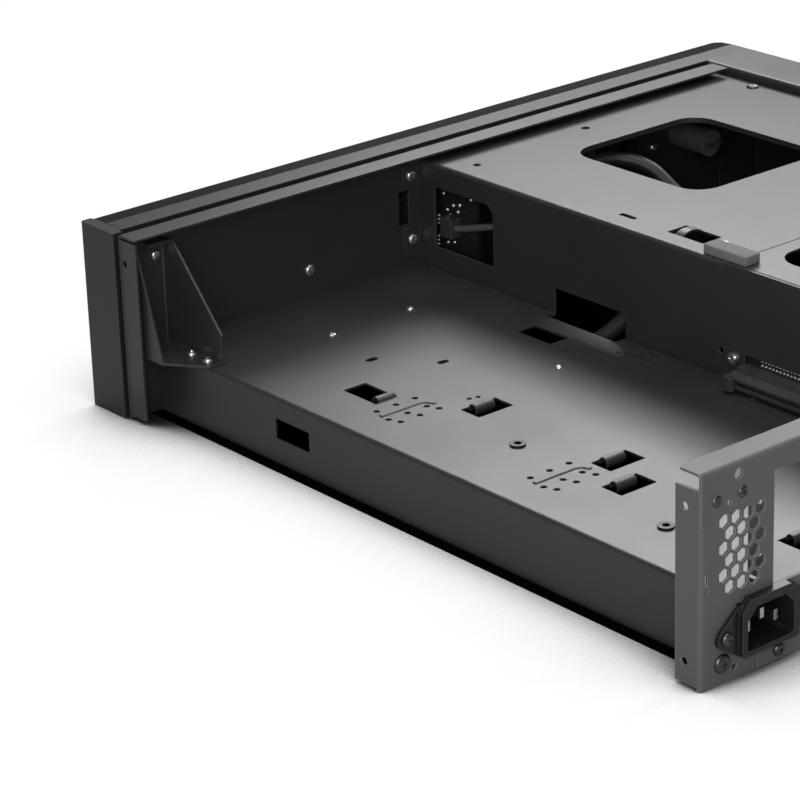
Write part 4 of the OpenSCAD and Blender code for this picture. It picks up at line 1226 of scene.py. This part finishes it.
@dataclass
class Studio:
    """The pale floor, the white surroundings and the soft boxes.

    The camera sees the floor white, but for a painted shadow near the case, which dims its glow
    where the case occludes it.
    Under the case the floor is painted dark, a painted shade, as its hidden inside is in the
    photograph.
    """

    floor_size: float = 14.0
    floor_drop: float = 0.0002
    floor_level: float = 0.5
    under_shade_level: float = 0.03
    under_inset: float = 12.0
    shadow_reach: float = 0.13
    shadow_range: Pair = (0.34, 0.86)
    glow: float = 1.05
    glow_share: float = 0.93
    soft_light: float = 0.14
    lamps: tuple[Lamp, ...] = (
        Lamp("far_box", (-0.78, -0.43, 0.70), (0.06, 0.08, 0.05), (1.1, 0.42), 9.5),
        Lamp("top_box", (0.1, 0.1, 1.7), (0.0, 0.0, 0.0), (1.4, 1.4), 12.0),
        Lamp("camera_box", (1.35, 1.15, 0.8), (0.0, 0.0, 0.04), (1.0, 1.0), 14.0),
    )

    def seen(self, work: NodeWork) -> Socket:
        """Gives 1 where the camera looks, straight or through something clear."""
        rays = work.add("ShaderNodeLightPath").outputs
        return work.sums("MAXIMUM", rays["Is Camera Ray"], rays["Is Transmission Ray"])

    def outside(self, work: NodeWork) -> Socket:
        """Gives 0 under the case and 1 around it."""
        spot = work.add("ShaderNodeTexCoord").outputs["Object"]
        parts = work.add("ShaderNodeSeparateXYZ", {0: spot})
        sides = []
        for axis, width in (("X", CASE_W), ("Y", CASE_D)):
            away = work.sums("ABSOLUTE", parts.outputs[axis])
            sides.append(work.sums("GREATER_THAN", away, (width / 2 - self.under_inset) * MM))
        return work.sums("MAXIMUM", *sides)

    def blend(self, work: NodeWork, share: Socket, unseen: Node, seen: Node, end: str) -> None:
        """Shows one shader to the light and another to the camera, and ends the tree."""
        inputs = {0: share, 1: unseen.outputs[0], 2: seen.outputs[0]}
        mixer = work.add("ShaderNodeMixShader", inputs)
        work.add(end, {"Surface": mixer.outputs[0]})

    def floor_material(self) -> Material:
        """Makes the floor's material, white to the camera but for its painted shadows and shade.
        """
        material = bpy.data.materials.new("studio_floor")
        material.use_nodes = True
        work = NodeWork(material.node_tree)
        # Under the case the floor's level drops and its glow goes out: a painted shade
        outside = self.outside(work)
        level = work.span(outside, (0.0, 1.0), (self.under_shade_level, self.floor_level))
        matt = work.add("ShaderNodeBsdfDiffuse", {"Color": level})
        # The glow fades where the case occludes the floor: a painted shadow
        near = work.add("ShaderNodeAmbientOcclusion", {"Distance": self.shadow_reach}, samples=8)
        light = work.span(near.outputs["AO"], self.shadow_range, (0.0, self.glow), "SMOOTHSTEP")
        strength = work.sums("MULTIPLY", outside, light)
        glow = work.add("ShaderNodeEmission", {"Color": WHITE, "Strength": strength})
        share = work.sums("MULTIPLY", self.seen(work), self.glow_share)
        self.blend(work, share, matt, glow, "ShaderNodeOutputMaterial")
        return material

    def world(self) -> None:
        """Lights the surroundings evenly and shows them white."""
        world = bpy.data.worlds.new("studio_world")
        bpy.context.scene.world = world
        world.use_nodes = True
        work = NodeWork(world.node_tree)
        sides = [
            work.add("ShaderNodeBackground", {"Color": WHITE, "Strength": strength})
            for strength in (self.soft_light, 1.0)
        ]
        self.blend(work, self.seen(work), *sides, "ShaderNodeOutputWorld")

    def build(self) -> None:
        """Lays the floor and sets the lights."""
        mesh = bpy.data.meshes.new("studio_floor")
        half = self.floor_size / 2
        corners = ((-half, -half), (half, -half), (half, half), (-half, half))
        mesh.from_pydata([(x, y, -self.floor_drop) for x, y in corners], [], [(0, 1, 2, 3)])
        mesh.materials.append(self.floor_material())
        linked("studio_floor", mesh)
        self.world()
        for lamp in self.lamps:
            lamp.build()
        bpy.context.scene.view_settings.view_transform = "Standard"


def main() -> None:
    """Builds the dressed case, piece by piece."""
    logging.basicConfig(level=logging.INFO, format="%(name)s: %(message)s")
    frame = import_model()
    PhotoCamera().build()
    Studio().build()
    finishes = Finishes()
    finishes.build()
    SheetMetal().dress(frame["nodes"], finishes)
    scatter = ScatterPattern()
    rows = RowPattern()
    FrontBar().build(frame["nodes"]["front_panel"], finishes)
    Fasteners().build(scatter, finishes)
    Boards().build(scatter, rows, finishes)
    Leads().build(finishes)
    CoverPad().build(finishes)
    StatusLight().build(scatter, finishes)


if __name__ == "__main__":
    main()
